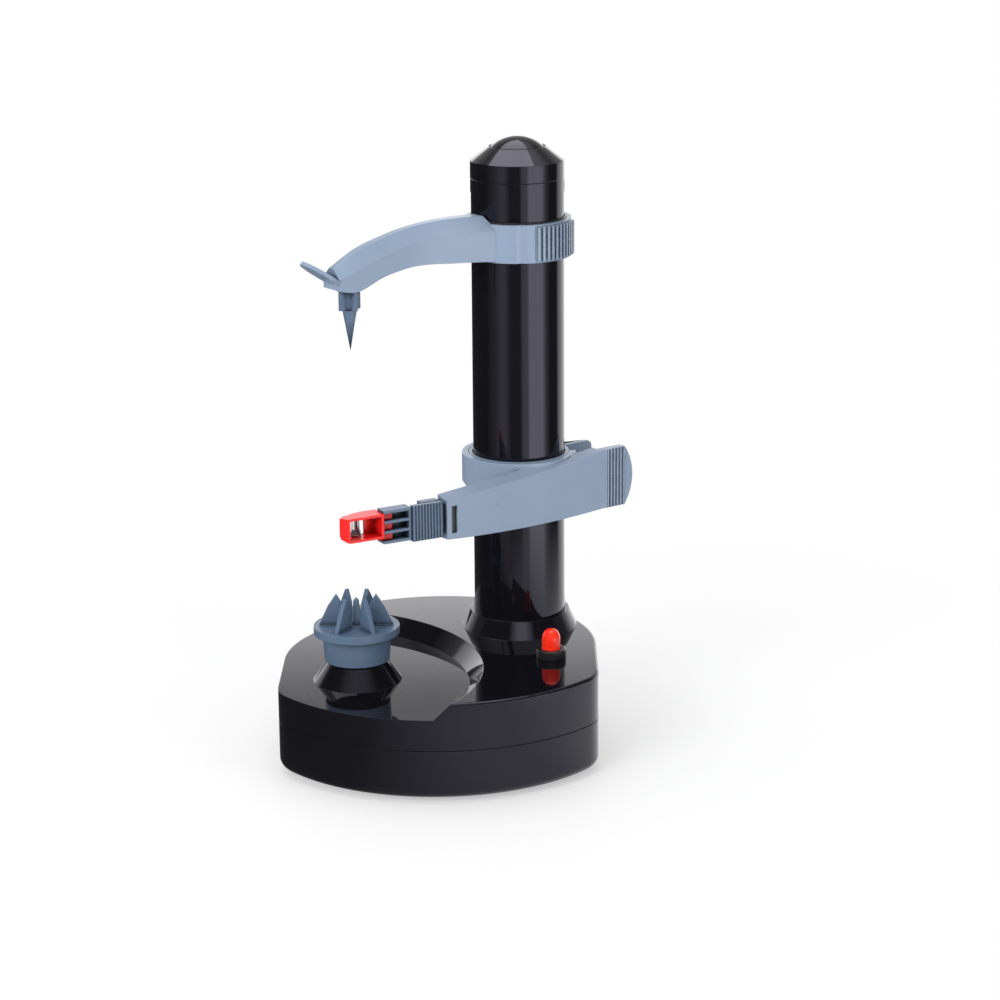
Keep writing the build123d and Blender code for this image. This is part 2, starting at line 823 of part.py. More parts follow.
export_step(food_holder.part, "parts/food_holder.step")

# Column: a slotted tube with a domed cap and a plug at its top
tube_bore = column_radius - column_wall
with BuildPart() as column_tube:
    bar(column, column_radius, tube_seat, cap_seam)
    bar(column, tube_bore, tube_seat - overrun, cap_seam + overrun, Mode.SUBTRACT)
    block(column, 2 * column_radius + overrun, slot_width, slot_bottom, slot_top, 0, Mode.SUBTRACT)
column_tube.part.label = "column_tube"
export_step(column_tube.part, "parts/column_tube.step")

cap_floor = cap_seam - spigot_length
plug_radius = cap_rim_radius - plug_groove
with BuildPart() as column_cap:
    turned(
        column,
        (
            (bush_seat_radius, cap_floor),
            (tube_bore - seat_fit, cap_floor),
            (tube_bore - seat_fit, cap_seam),
            (column_radius, cap_seam),
            (column_radius, cap_shoulder),
            (cap_rim_radius, cap_rim),
            (cap_rim_radius, cap_rim - plug_groove),
            (plug_radius + seat_fit, cap_rim - plug_groove),
            (plug_radius + seat_fit, cap_rim - cap_wall - plug_groove),
            (column_radius - cap_wall, cap_shoulder - plug_groove),
            (column_radius - cap_wall, cap_seam + cap_wall),
            (tube_bore - cap_wall, cap_seam),
            (tube_bore - cap_wall, cap_floor + seat_wall),
            (bush_seat_radius, cap_floor + seat_wall),
        ),
    )
    fillet(edges().filter_by(GeomType.CIRCLE).group_by(Axis.Z)[-3], rim_edge)
column_cap.part.label = "column_cap"
export_step(column_cap.part, "parts/column_cap.step")

dome_radius = (plug_radius**2 + cap_dome_rise**2) / (2 * cap_dome_rise)
plug_bottom = cap_rim - cap_wall
with BuildPart() as cap_plug:
    with BuildSketch(upright(column)):
        with BuildLine():
            Polyline((0, total_height), (0, plug_bottom), (plug_radius, plug_bottom), (plug_radius, cap_rim))
            RadiusArc((0, total_height), (plug_radius, cap_rim), dome_radius)
        make_face()
    revolve(axis=Axis((*column, 0), (0, 0, 1)))
cap_plug.part.label = "cap_plug"
export_step(cap_plug.part, "parts/cap_plug.step")

# Lead screw with its lower journal, and the bushes at both ends
with BuildPart() as lead_screw:
    bar(column, journal_radius, plate_bottom, plate_top + slide_fit)
    bar(column, screw_shaft_radius, plate_top + slide_fit, screw_top)
lead_screw.part.label = "lead_screw"
export_step(lead_screw.part, "parts/lead_screw.step")

with BuildPart() as screw_bushes:
    for bottom in (socket_bottom, cap_floor):
        bar(column, screw_bush_radius, bottom, bottom + screw_bush_height)
        hole_top = bottom + screw_bush_height + overrun
        bar(column, screw_shaft_radius + running_fit, bottom - overrun, hole_top, Mode.SUBTRACT)
screw_bushes.part.label = "screw_bushes"
export_step(screw_bushes.part, "parts/screw_bushes.step")

# Carriage: a sleeve on the column with a flange, a waist for the spring, a key and the finger lug
key_width = slot_width - 2 * slide_fit
sleeve_bore = column_radius + slide_fit
lip_bottom = ring_top - ring_lip
lug_bottom = ring_bottom - lug_drop
nut_top = nut_bottom + nut_height
with BuildPart() as carriage_sleeve:
    turned(
        column,
        (
            (sleeve_bore, ring_bottom - slide_fit - flange_wall),
            (flange_radius, ring_bottom - slide_fit - flange_wall),
            (flange_radius, ring_bottom - slide_fit),
            (sleeve_radius, ring_bottom - slide_fit),
            (sleeve_radius, waist_bottom),
            (sleeve_waist, waist_bottom),
            (sleeve_waist, waist_top),
            (sleeve_radius, waist_top),
            (sleeve_radius, lip_bottom - slide_fit),
            (ring_lip_radius - slide_fit, lip_bottom - slide_fit),
            (ring_lip_radius - slide_fit, ring_top),
            (sleeve_bore, ring_top),
        ),
    )
    with BuildSketch(upright(column, lug_across)):
        with Locations(((lug_start + lug_reach) / 2, (lug_bottom + ring_top) / 2)):
            RectangleRounded(lug_reach - lug_start, ring_top - lug_bottom, lug_corner_radius)
        with Locations((lug_start + lug_corner_radius, (lug_bottom + ring_top) / 2)):
            Rectangle(2 * lug_corner_radius, ring_top - lug_bottom)
        with Locations((lug_reach - 2 * lug_corner_radius, ring_top - lug_slot_height)):
            SlotOverall(lug_slot_height, lug_slot_width, rotation=90, mode=Mode.SUBTRACT)
    extrude(amount=-lug_wall)
    lug_top_side = reach(column, lug_reach - lug_wall / 2, lug_across + lug_flange / 2)
    lug_ends = (lug_bottom + lug_corner_radius, ring_top - lug_corner_radius)
    block(lug_top_side, lug_wall, lug_flange, *lug_ends, line_angle)
    block((column[0] - sleeve_bore, column[1]), 2 * column_wall, key_width, nut_bottom, nut_top)
    bar(column, tube_bore + clearance, ring_bottom, ring_top, Mode.SUBTRACT)
    turned(
        column,
        (
            (sleeve_waist, waist_bottom),
            (ring_bore, waist_bottom),
            (ring_bore, waist_top),
            (sleeve_waist, waist_top),
        ),
        Mode.SUBTRACT,
    )
carriage_sleeve.part.label = "carriage_sleeve"
export_step(carriage_sleeve.part, "parts/carriage_sleeve.step")

# Half nut: a half bore on the lead screw, carried through the right slot of the column
with BuildPart() as half_nut:
    bar(column, nut_radius, nut_bottom, nut_top)
    block((column[0] + sleeve_bore / 2, column[1]), sleeve_bore, key_width, nut_bottom, nut_top)
    nut_back = (column[0] - nut_radius, column[1])
    block(nut_back, 2 * nut_radius, 3 * nut_radius, nut_bottom, nut_top, mode=Mode.SUBTRACT)
    bar(column, sleeve_bore - seat_fit, nut_bottom, nut_top, Mode.INTERSECT)
    bar(column, screw_shaft_radius + running_fit, nut_bottom - overrun, nut_top + overrun, Mode.SUBTRACT)
half_nut.part.label = "half_nut"
export_step(half_nut.part, "parts/half_nut.step")

# Torsion spring in the waist, which presses the peel arm against the food
spring_room = waist_top - waist_bottom - 4 * spring_wire_radius
with BuildPart() as swing_spring:
    with BuildLine(Plane(origin=(*column, waist_bottom + 2 * spring_wire_radius))):
        coil = Helix(spring_room / spring_turns, spring_room, (sleeve_waist + ring_bore) / 2)
    with BuildSketch(Plane(origin=coil @ 0, z_dir=coil % 0)):
        RegularPolygon(spring_wire_radius, 6)
    sweep(path=coil)
swing_spring.part.label = "swing_spring"
export_step(swing_spring.part, "parts/swing_spring.step")


# An outline of the arm in a plane behind the column axis, both long sides gentle arcs
def arm_outline(v, start, end, bottoms, tops):
    middle = start + arm_bend_share * (end - start)
    with BuildSketch(upright(column, v), mode=Mode.PRIVATE) as face:
        with BuildLine():
            ThreePointArc((start, bottoms[0]), (middle, bottoms[1]), (end, bottoms[2]))
            Line((end, bottoms[2]), (end, tops[2]))
            ThreePointArc((end, tops[2]), (middle, tops[1]), (start, tops[0]))
            Line((start, tops[0]), (start, bottoms[0]))
        make_face()
    return face.sketch


# Peel arm: a ring that turns on the carriage, a hollow arm, a socket and a ribbed thumb pad
socket_end = arm_end + socket_length
head_height = ring_bottom + head_rise
arm_bottoms = (ring_bottom + arm_end_bottom_rise, ring_bottom + arm_bend_bottom_rise, pad_bottom)
arm_tops = (ring_bottom + arm_end_top_rise, ring_bottom + arm_bend_top_rise, pad_top)
arm_back_tops = (ring_bottom + arm_end_back_rise, ring_bottom + arm_bend_back_rise, pad_top)
hollow_bottoms = [height + arm_wall for height in arm_bottoms]
hollow_tops = [height - arm_wall for height in arm_tops]
hollow_end = pad_start - arm_wall
catch_left = arm_end + catch_gap
catch_right = catch_left + catch_width
catch_across = (catch_left + catch_right) / 2
catch_height = ring_bottom + (catch_bottom_rise + catch_top_rise) / 2
with BuildPart(mode=Mode.PRIVATE) as arm_shell:
    front_outline = arm_outline(-arm_front, arm_end, pad_start, arm_bottoms, arm_tops)
    back_outline = arm_outline(-arm_back, arm_end, pad_start, arm_bottoms, arm_back_tops)
    loft([front_outline, back_outline], ruled=True)
    hollow = arm_outline(-arm_front + arm_wall, socket_end, hollow_end, hollow_bottoms, hollow_tops)
    extrude(hollow, amount=-(arm_front - arm_back + overrun), mode=Mode.SUBTRACT)
with BuildPart() as peel_arm:
    bar(column, ring_radius, ring_bottom, ring_top)
    with BuildSketch(level(column, ring_bottom - overrun)):
        Polygon(
            (0, 0),
            *[
                (
                    (ring_radius + overrun) * cos(radians(opening_start_angle + share * opening_angle)),
                    (ring_radius + overrun) * sin(radians(opening_start_angle + share * opening_angle)),
                )
                for share in (0, 1 / 2, 1)
            ],
            align=None,
        )
    extrude(amount=ring_top - ring_bottom + 2 * overrun, mode=Mode.SUBTRACT)
    add(arm_shell.part)
    with BuildSketch(upright(column, -pad_back)):
        with BuildLine():
            Polyline((pad_end, pad_bottom), (pad_start, pad_bottom), (pad_start, pad_top), (pad_end, pad_top))
            ThreePointArc((pad_end, pad_top), (pad_bulge, (pad_bottom + pad_top) / 2), (pad_end, pad_bottom))
        make_face()
    extrude(amount=arm_front - pad_back)
    with BuildSketch(level(column, pad_bottom)):
        for i in range(pad_rib_count):
            with Locations((pad_rib_start + i * pad_rib_pitch, -arm_front)):
                Circle(pad_rib_radius)
    extrude(amount=pad_top - pad_bottom)
    turned(
        column,
        (
            (0, pad_bottom - overrun),
            (flange_radius + clearance, pad_bottom - overrun),
            (flange_radius + clearance, ring_bottom),
            (ring_bore, ring_bottom),
            (ring_bore, lip_bottom),
            (ring_lip_radius, lip_bottom),
            (ring_lip_radius, pad_top + overrun),
            (0, pad_top + overrun),
        ),
        Mode.SUBTRACT,
    )
    with BuildSketch(upright(column, -tongue_back + slide_fit)):
        with Locations((arm_end, head_height)):
            Rectangle(2 * (socket_length - arm_wall), 2 * (tongue_half_height + slide_fit))
    extrude(amount=tongue_front - tongue_back + 2 * slide_fit, mode=Mode.SUBTRACT)
    with BuildSketch(upright(column, -tongue_front)):
        with Locations((catch_across, catch_height)):
            Rectangle(catch_width, catch_top_rise - catch_bottom_rise)
    extrude(amount=overrun, mode=Mode.SUBTRACT)
peel_arm.part.label = "peel_arm"
export_step(peel_arm.part, "parts/peel_arm.step")

# The blade head's own line: turned inwards about the middle of the tongue at the arm's mouth
head_angle = line_angle - head_turn_angle
tongue_middle = (tongue_front + tongue_back) / 2
head_start = reach(reach(column, arm_end, -tongue_middle), -arm_end, tongue_middle, head_angle)
grip_right = arm_end - grip_start
grip_left = grip_right - grip_length
carrier_left = grip_left - carrier_length
guard_right = carrier_left - slide_fit
guard_tip = guard_right - guard_length
blade_at = arm_end - blade_place
guard_height = head_height + guard_rise


# A block of the blade head from its ends, half height, front and back, on the head's line
def head_block(
    left,
    right,
    half_height,
    front,
    back,
    mode=Mode.ADD,
    middle_height=head_height,
    start=head_start,
    turn=head_angle,
):
    with BuildSketch(upright(start, -back, turn), mode=Mode.PRIVATE) as face:
        with Locations(((left + right) / 2, middle_height)):
            Rectangle(right - left, 2 * half_height)
    extrude(face.sketch, amount=front - back, mode=mode)


# Blade grip: the ribbed slide that is pulled out of the arm, with its tongue, catch and top tab
rib_pitch = (grip_right - grip_left) / grip_ribs
tenon_half_height = tongue_half_height - carrier_web
grip_body_front = grip_front - grip_rib_rise
tab_rise = grip_half_height - tongue_half_height
tab_place = (tab_rise, tongue_front)
tab_cut = (Mode.SUBTRACT, head_height + tongue_half_height + tab_rise)
tab_front = tongue_front - grip_groove_width
with BuildPart() as blade_grip:
    head_block(grip_left, grip_right, grip_half_height, grip_body_front, grip_back)
    with BuildSketch(level(head_start, head_height - grip_half_height, head_angle)):
        for i in range(grip_ribs):
            with Locations((grip_left + (i + 1 / 2) * rib_pitch, -grip_body_front)):
                Circle(grip_rib_rise)
    extrude(amount=2 * grip_half_height)
    head_block(grip_left - overrun, grip_right + overrun, *tab_place, tab_front, *tab_cut)
    tab_left = grip_right - grip_tab_length
    head_block(grip_left - overrun, tab_left, *tab_place, grip_back - overrun, *tab_cut)
    tongue_end = socket_end - 2 * arm_wall
    tongue_place = (tongue_half_height, tongue_front, tongue_back)
    arm_line = (head_height, column, line_angle)
    head_block(grip_right - overrun, tongue_end, *tongue_place, Mode.ADD, *arm_line)
    catch_floor = tongue_front - carrier_web
    catch_front = tongue_front + overrun
    head_block(
        catch_left, catch_right, tongue_half_height / 2, catch_front, catch_floor, Mode.SUBTRACT, *arm_line
    )
    tenon_end = grip_left + overrun + seat_fit
    head_block(grip_left - overrun, tenon_end, tenon_half_height, tongue_front, tongue_back, Mode.SUBTRACT)
blade_grip.part.label = "blade_grip"
export_step(blade_grip.part, "parts/blade_grip.step")

# Blade carrier: an open frame with a back web and four flanges, with a tenon in the grip
channel = (2 * carrier_half_height - 4 * carrier_flange) / 3
channel_heights = [head_height + i * (channel + carrier_flange) for i in (-1, 0, 1)]
with BuildPart() as blade_carrier:
    head_block(carrier_left, grip_left - seat_fit, carrier_half_height, carrier_front, carrier_back)
    for height in channel_heights:
        head_block(
            carrier_left - overrun,
            grip_left - carrier_flange,
            channel / 2,
            carrier_front + overrun,
            carrier_back + carrier_web,
            Mode.SUBTRACT,
            height,
        )
    head_block(
        grip_left - carrier_flange,
        grip_left + overrun,
        tenon_half_height - seat_fit,
        tongue_front - seat_fit,
        tongue_back + seat_fit,
    )
blade_carrier.part.label = "blade_carrier"
export_step(blade_carrier.part, "parts/blade_carrier.step")


# The guard's body drawn in by an inset: its side view cut to its plan, which narrows to a nose
def guard_form(inset, front):
    with BuildPart(mode=Mode.PRIVATE) as form:
        with BuildSketch(upright(head_start, -guard_back - inset, head_angle)) as face:
            with Locations(((guard_tip + guard_right) / 2, guard_height)):
                Rectangle(guard_length, 2 * guard_half_height)
            fillet(face.vertices().group_by(Axis.Z)[-1].sort_by(Axis.X)[0], guard_nose_radius)
            fillet(face.vertices().group_by(Axis.Z)[0].sort_by(Axis.X)[0], guard_chin_radius)
            if inset:
                offset(amount=-inset)
        extrude(amount=front - guard_back - inset)
        with BuildSketch(level(head_start, guard_height - guard_half_height, head_angle)):
            Polygon(
                (guard_right, -guard_front - 2 * overrun),
                (guard_tip + guard_nose, -guard_front - 2 * overrun),
                (guard_tip + guard_nose, -guard_front),
                (guard_tip, -guard_nose_front),
                (guard_tip + guard_nose, guard_nose - guard_nose_front),
                (guard_tip + guard_heel, -guard_back),
                (guard_right, -guard_back),
                align=None,
            )
            if inset:
                offset(amount=-inset)
        extrude(amount=2 * guard_half_height, mode=Mode.INTERSECT)
    return form.part


# Blade guard: a hood round the blade, open to the front, with a window towards the food
window = (blade_at - window_half_width, blade_at + window_half_width)
inner_half_height = guard_half_height - guard_wall
finger_back = carrier_back + carrier_web + slide_fit
with BuildPart() as blade_guard:
    add(guard_form(0, guard_front))
    add(guard_form(guard_wall, guard_front + overrun), mode=Mode.SUBTRACT)
    window_place = (inner_half_height, guard_back + 3 * guard_wall, guard_back - overrun)
    head_block(*window, *window_place, Mode.SUBTRACT, guard_height)
    for height in channel_heights:
        head_block(
            guard_right - guard_wall,
            guard_right + finger_length,
            channel / 2 - slide_fit,
            finger_back + finger_depth,
            finger_back,
            middle_height=height,
        )
blade_guard.part.label = "blade_guard"
export_step(blade_guard.part, "parts/blade_guard.step")

# Blade: a slit half tube of steel with an ear at each end, and the pins it swivels on
pivot = reach(head_start, blade_at, -blade_pivot, head_angle)
blade_bottom = guard_height - blade_half_length
blade_top = guard_height + blade_half_length
with BuildPart() as peel_blade:
    with BuildSketch(level(pivot, blade_bottom, head_angle)):
        Circle(blade_half_width)
        Circle(blade_half_width - blade_wall, mode=Mode.SUBTRACT)
        with Locations((0, -blade_half_width)):
            Rectangle(4 * blade_half_width, 2 * blade_half_width, mode=Mode.SUBTRACT)
    extrude(amount=2 * blade_half_length)
    for end in (blade_bottom, blade_top - blade_wall):
        bar(pivot, blade_half_width, end, end + blade_wall)
    slit_spot = reach(pivot, 0, blade_half_width, head_angle)
    slit_ends = (guard_height - blade_slit_half, guard_height + blade_slit_half)
    block(slit_spot, blade_slit, 2 * blade_wall + blade_slit, *slit_ends, head_angle, Mode.SUBTRACT)
    bar(pivot, blade_pin_radius + running_fit, blade_bottom - overrun, blade_top + overrun, Mode.SUBTRACT)
peel_blade.part.label = "peel_blade"
export_step(peel_blade.part, "parts/peel_blade.step")

with BuildPart() as blade_pins:
    for side in (-1, 1):
        near = guard_height + side * (blade_half_length - 2 * blade_wall)
        far = guard_height + side * inner_half_height
        bar(pivot, blade_pin_radius, min(near, far), max(near, far))
        near = guard_height + side * (blade_half_length + clearance / 2)
        bar(pivot, blade_half_width / 2, min(near, far), max(near, far))
blade_pins.part.label = "blade_pins"
export_step(blade_pins.part, "parts/blade_pins.step")


# A section of the upper arm at one of its shares, upright and across the line of the axes
def arch_section(place, underside, crease, ridge, width):
    shares = (underside, crease, ridge)
    low, middle, high = [upper_ring_bottom + share * upper_ring_height for share in shares]
    half_width = width * upper_half_width
    plane = Plane(
        origin=(*reach(column, -place * axis_gap), 0),
        x_dir=(*direction(line_angle + 90), 0),
        z_dir=(*direction(line_angle), 0),
    )
    with BuildSketch(plane, mode=Mode.PRIVATE) as section:
        Polygon(
            (-half_width, low),
            (half_width, low),
            (half_width, middle),
            (ridge_share * half_width, high),
            (-ridge_share * half_width, high),
            (-half_width, middle),
            align=None,
        )
    return section.sketch


# Upper arm: a gripped ring on the column, an arched arm with a ridge, a thin leaf and a spike seat
upper_ring_top = upper_ring_bottom + upper_ring_height
liner_radius = column_radius + slide_fit + liner_wall
spike_spot = reach(column, -axis_gap)
spike_top = upper_ring_bottom - spike_drop
spike_shoulder = spike_top - spike_fin_height
spike_stem_top = spike_top + spike_stem_height
leaf_across, leaf_up = direction(leaf_tilt_angle)
leaf_middle = reach(column, -axis_gap - leaf_foot_overhang - leaf_across * leaf_length / 2)
leaf_height = upper_ring_bottom - leaf_foot_drop + leaf_up * leaf_length / 2
line_x, line_y = direction(line_angle)

with BuildPart() as upper_arm:
    loft([arch_section(*shares) for shares in arch_shares])
    bar(spike_spot, spike_seat_radius, spike_top, upper_ring_bottom)
    bar(column, upper_ring_radius, upper_ring_bottom, upper_ring_top)
    leaf_plane = Plane(
        origin=(*leaf_middle, leaf_height),
        x_dir=(-leaf_across * line_x, -leaf_across * line_y, leaf_up),
        z_dir=(leaf_up * line_x, leaf_up * line_y, leaf_across),
    )
    with BuildSketch(leaf_plane):
        Ellipse(leaf_length / 2, leaf_half_width)
    extrude(amount=leaf_wall / 2, both=True)
    with BuildSketch(level(column, upper_ring_bottom + grip_rib_depth)):
        for side in (-1, 1):
            with BuildLine():
                start = side * grip_centre_angle - grip_rib_count * grip_rib_angle / 2
                arc = CenterArc((0, 0), grip_radius, start, grip_rib_count * grip_rib_angle)
                Line(arc @ 1, (0, 0))
                Line((0, 0), arc @ 0)
            make_face()
            for i in range(grip_rib_count):
                turn = start + (i + 1 / 2) * grip_rib_angle
                x, y = direction(turn)
                with Locations(Location((grip_radius * x, grip_radius * y, 0), turn)):
                    Rectangle(2 * grip_rib_depth, grip_rib_width)
    extrude(amount=upper_ring_height - 2 * grip_rib_depth)
    flute_reach = upper_ring_radius + flute_radius - flute_depth
    flute_spot = reach(column, flute_reach, 0, line_angle + flute_angle)
    bar(flute_spot, flute_radius, upper_ring_bottom - overrun, upper_ring_top + overrun, Mode.SUBTRACT)
    bar(column, liner_radius + seat_fit, upper_ring_bottom - overrun, upper_ring_top + overrun, Mode.SUBTRACT)
    seat_top = spike_stem_top + clearance
    bar(spike_spot, spike_stem_radius + running_fit, spike_top - overrun, seat_top, Mode.SUBTRACT)
upper_arm.part.label = "upper_arm"
export_step(upper_arm.part, "parts/upper_arm.step")

# Dark friction liner in the ring, keyed into both column slots
with BuildPart() as ring_liner:
    bar(column, liner_radius, upper_ring_bottom, upper_ring_top + liner_rise)
    bar(column, sleeve_bore, upper_ring_bottom - overrun, upper_ring_top + overrun, Mode.SUBTRACT)
    for side in (-1, 1):
        key_spot = (column[0] + side * (tube_bore + clearance + column_wall / 2), column[1])
        key_bottom = upper_ring_bottom + grip_rib_depth
        block(key_spot, column_wall, key_width, key_bottom, key_bottom + nut_height)
ring_liner.part.label = "ring_liner"
export_step(ring_liner.part, "parts/ring_liner.step")

# Top spike: four fins under the arm, a pointed root below and a stem that turns in the arm
with BuildPart() as top_spike:
    turned(
        spike_spot,
        (
            (0, spike_top - spike_length),
            (spike_root_radius, spike_shoulder),
            (spike_stem_radius, spike_shoulder),
            (spike_stem_radius, spike_stem_top),
            (0, spike_stem_top),
        ),
    )
    for turn in (line_angle, line_angle + 90):
        block(spike_spot, 2 * spike_fin_radius, spike_blade_wall, spike_shoulder, spike_top - slide_fit, turn)
top_spike.part.label = "top_spike"
export_step(top_spike.part, "parts/top_spike.step")

# Switch: a bezel in the deck, a sprung button in it and a switch box underneath
bezel_top = deck_height + bezel_height
bezel_foot = deck_height - bezel_neck_length
lip = bezel_top - button_lip
collar_top = lip - slide_fit
collar_bottom = collar_top - button_collar_height
with BuildPart() as switch_bezel:
    bar(switch, bezel_neck, bezel_foot, bezel_top)
    bar(switch, bezel_radius, deck_height, bezel_top)
    fillet(edges().filter_by(GeomType.CIRCLE).group_by(Axis.Z)[-1], rim_edge)
    bar(switch, button_collar + slide_fit, bezel_foot - overrun, lip, Mode.SUBTRACT)
    bar(switch, button_radius + slide_fit, bezel_foot, bezel_top + overrun, Mode.SUBTRACT)
switch_bezel.part.label = "switch_bezel"
export_step(switch_bezel.part, "parts/switch_bezel.step")

with BuildPart() as switch_button:
    turned(
        switch,
        (
            (0, bezel_foot - 2 * clearance),
            (switch_stem_radius, bezel_foot - 2 * clearance),
            (switch_stem_radius, collar_bottom),
            (button_collar, collar_bottom),
            (button_collar, collar_top),
            (button_radius, collar_top),
            (button_radius, button_shoulder),
            (button_top_radius, button_top),
            (0, button_top),
        ),
    )
    fillet(edges().filter_by(GeomType.CIRCLE).group_by(Axis.Z)[-1], rim_edge)
switch_button.part.label = "switch_button"
export_step(switch_button.part, "parts/switch_button.step")

with BuildPart() as switch_body:
    block(switch, switch_box_width, switch_box_depth, bezel_foot - switch_box_height, bezel_foot)
    stem_hole_bottom = bezel_foot - 2 * button_travel
    bar(switch, switch_stem_radius + slide_fit, stem_hole_bottom, bezel_foot + overrun, Mode.SUBTRACT)
switch_body.part.label = "switch_body"
export_step(switch_body.part, "parts/switch_body.step")

button_spring_room = collar_bottom - bezel_foot - 2 * button_wire_radius
button_pitch = button_spring_room / button_turns
button_coil_radius = (switch_stem_radius + button_collar) / 2
with BuildPart() as switch_spring:
    with BuildLine(Plane(origin=(*switch, bezel_foot + button_wire_radius))):
        button_coil = Helix(button_pitch, button_spring_room, button_coil_radius)
    with BuildSketch(Plane(origin=button_coil @ 0, z_dir=button_coil % 0)):
        RegularPolygon(button_wire_radius, 4)
    sweep(path=button_coil)
switch_spring.part.label = "switch_spring"
export_step(switch_spring.part, "parts/switch_spring.step")

# Mains adapter inlet: a box inside the right wall, a barrel through it and a centre pin
inlet_wall = base_x + base_half_width
inlet_face = inlet_wall - base_wall
inlet_end = inlet_face - inlet_depth
with BuildPart() as adapter_inlet:
    for radius, width, height, start, end, mode in (
        (0, inlet_box_width, inlet_box_height, inlet_face, inlet_end, Mode.ADD),
        (inlet_barrel, 0, 0, inlet_wall, inlet_face, Mode.ADD),
        (inlet_radius, 0, 0, inlet_wall + overrun, inlet_wall - inlet_depth, Mode.SUBTRACT),
        (inlet_pin_radius, 0, 0, inlet_face, inlet_end, Mode.ADD),
    ):
        with BuildSketch(Plane.YZ.offset(start)):
            with Locations((base_y + inlet_y, inlet_height)):
                if radius:
                    Circle(radius)
                else:
                    Rectangle(width, height)
        extrude(amount=end - start, mode=mode)
adapter_inlet.part.label = "adapter_inlet"
export_step(adapter_inlet.part, "parts/adapter_inlet.step")
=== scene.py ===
import bpy
import bmesh
import json
import numpy as np
from math import cos, pi, radians, sin
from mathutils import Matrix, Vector


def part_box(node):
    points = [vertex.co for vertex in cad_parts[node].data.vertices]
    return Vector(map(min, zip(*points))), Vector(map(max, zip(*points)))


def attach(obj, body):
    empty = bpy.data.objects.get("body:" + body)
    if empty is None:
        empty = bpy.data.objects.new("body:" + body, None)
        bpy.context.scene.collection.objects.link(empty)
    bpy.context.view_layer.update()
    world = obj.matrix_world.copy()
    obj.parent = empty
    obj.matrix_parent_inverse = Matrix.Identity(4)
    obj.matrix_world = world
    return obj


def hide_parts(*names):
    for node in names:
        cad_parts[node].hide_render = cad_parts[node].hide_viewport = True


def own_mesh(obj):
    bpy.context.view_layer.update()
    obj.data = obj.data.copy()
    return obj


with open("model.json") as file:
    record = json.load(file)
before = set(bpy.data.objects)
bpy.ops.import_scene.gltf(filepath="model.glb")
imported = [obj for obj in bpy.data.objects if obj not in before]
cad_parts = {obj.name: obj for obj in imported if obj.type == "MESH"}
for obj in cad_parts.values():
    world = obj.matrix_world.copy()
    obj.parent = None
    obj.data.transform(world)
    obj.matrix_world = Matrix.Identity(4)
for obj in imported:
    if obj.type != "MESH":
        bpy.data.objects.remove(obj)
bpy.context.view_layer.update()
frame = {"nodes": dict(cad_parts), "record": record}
nodes = frame["nodes"]
scene = bpy.context.scene
bodyOf = {name: body for body, names in frame["record"]["behaviour"]["bodies"].items() for name in names}
print("frame loaded:", len(nodes), "CAD nodes")


def middleOf(name):
    # the middle of a node's box, seen from above
    low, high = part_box(name)
    return ((low[0] + high[0]) / 2, (low[1] + high[1]) / 2)


def nodePoints(name):
    source = nodes[name].data
    points = np.empty(len(source.vertices) * 3)
    source.vertices.foreach_get("co", points)
    return points.reshape(-1, 3)


def newObject(name, data):
    piece = bpy.data.objects.new(name, data)
    scene.collection.objects.link(piece)
    return piece


# Small steps that every node tree uses


def feed(tree, socket, value):
    # a number is set on the socket, and another node's output is linked to it
    if hasattr(value, "is_output"):
        tree.links.new(value, socket)
    else:
        socket.default_value = value


def noiseNode(tree, where, scale, detail, roughness):
    noise = tree.nodes.new("ShaderNodeTexNoise")
    for label, value in (("Vector", where), ("Scale", scale), ("Detail", detail), ("Roughness", roughness)):
        feed(tree, noise.inputs[label], value)
    return noise.outputs["Fac"]


def rangeNode(tree, value, fromLow, fromHigh, low, high):
    spread = tree.nodes.new("ShaderNodeMapRange")
    labels = ("Value", "From Min", "From Max", "To Min", "To Max")
    for label, given in zip(labels, (value, fromLow, fromHigh, low, high)):
        feed(tree, spread.inputs[label], given)
    return spread.outputs["Result"]


def mathNode(tree, operation, *values):
    node = tree.nodes.new("ShaderNodeMath")
    node.operation = operation
    for socket, value in zip(node.inputs, values):
        feed(tree, socket, value)
    return node.outputs[0]


def vectorNode(tree, operation, *values):
    node = tree.nodes.new("ShaderNodeVectorMath")
    node.operation = operation
    for socket, value in zip(node.inputs, values):
        feed(tree, socket, value)
    return node.outputs["Value" if operation in ("DOT_PRODUCT", "LENGTH") else "Vector"]


def mixColour(tree, amount, first, second):
    mix = tree.nodes.new("ShaderNodeMix")
    mix.data_type = "RGBA"
    for socket, value in ((mix.inputs["Factor"], amount), (mix.inputs[6], first), (mix.inputs[7], second)):
        feed(tree, socket, value)
    return mix.outputs[2]


def objectPlace(tree):
    return tree.nodes.new("ShaderNodeTexCoord").outputs["Object"]


# Surface effects that several materials share: each is a group that is built once


def newGroup(name, inputs, outputs):
    group = bpy.data.node_groups.new(name, "ShaderNodeTree")
    for label, kind, value in inputs:
        group.interface.new_socket(name=label, in_out="INPUT", socket_type=kind).default_value = value
    for label, kind in outputs:
        group.interface.new_socket(name=label, in_out="OUTPUT", socket_type=kind)
    return group, group.nodes.new("NodeGroupInput"), group.nodes.new("NodeGroupOutput")


def placeGroup(tree, group, values):
    node = tree.nodes.new("ShaderNodeGroup")
    node.node_tree = group
    for label, value in values.items():
        node.inputs[label].default_value = value
    return node


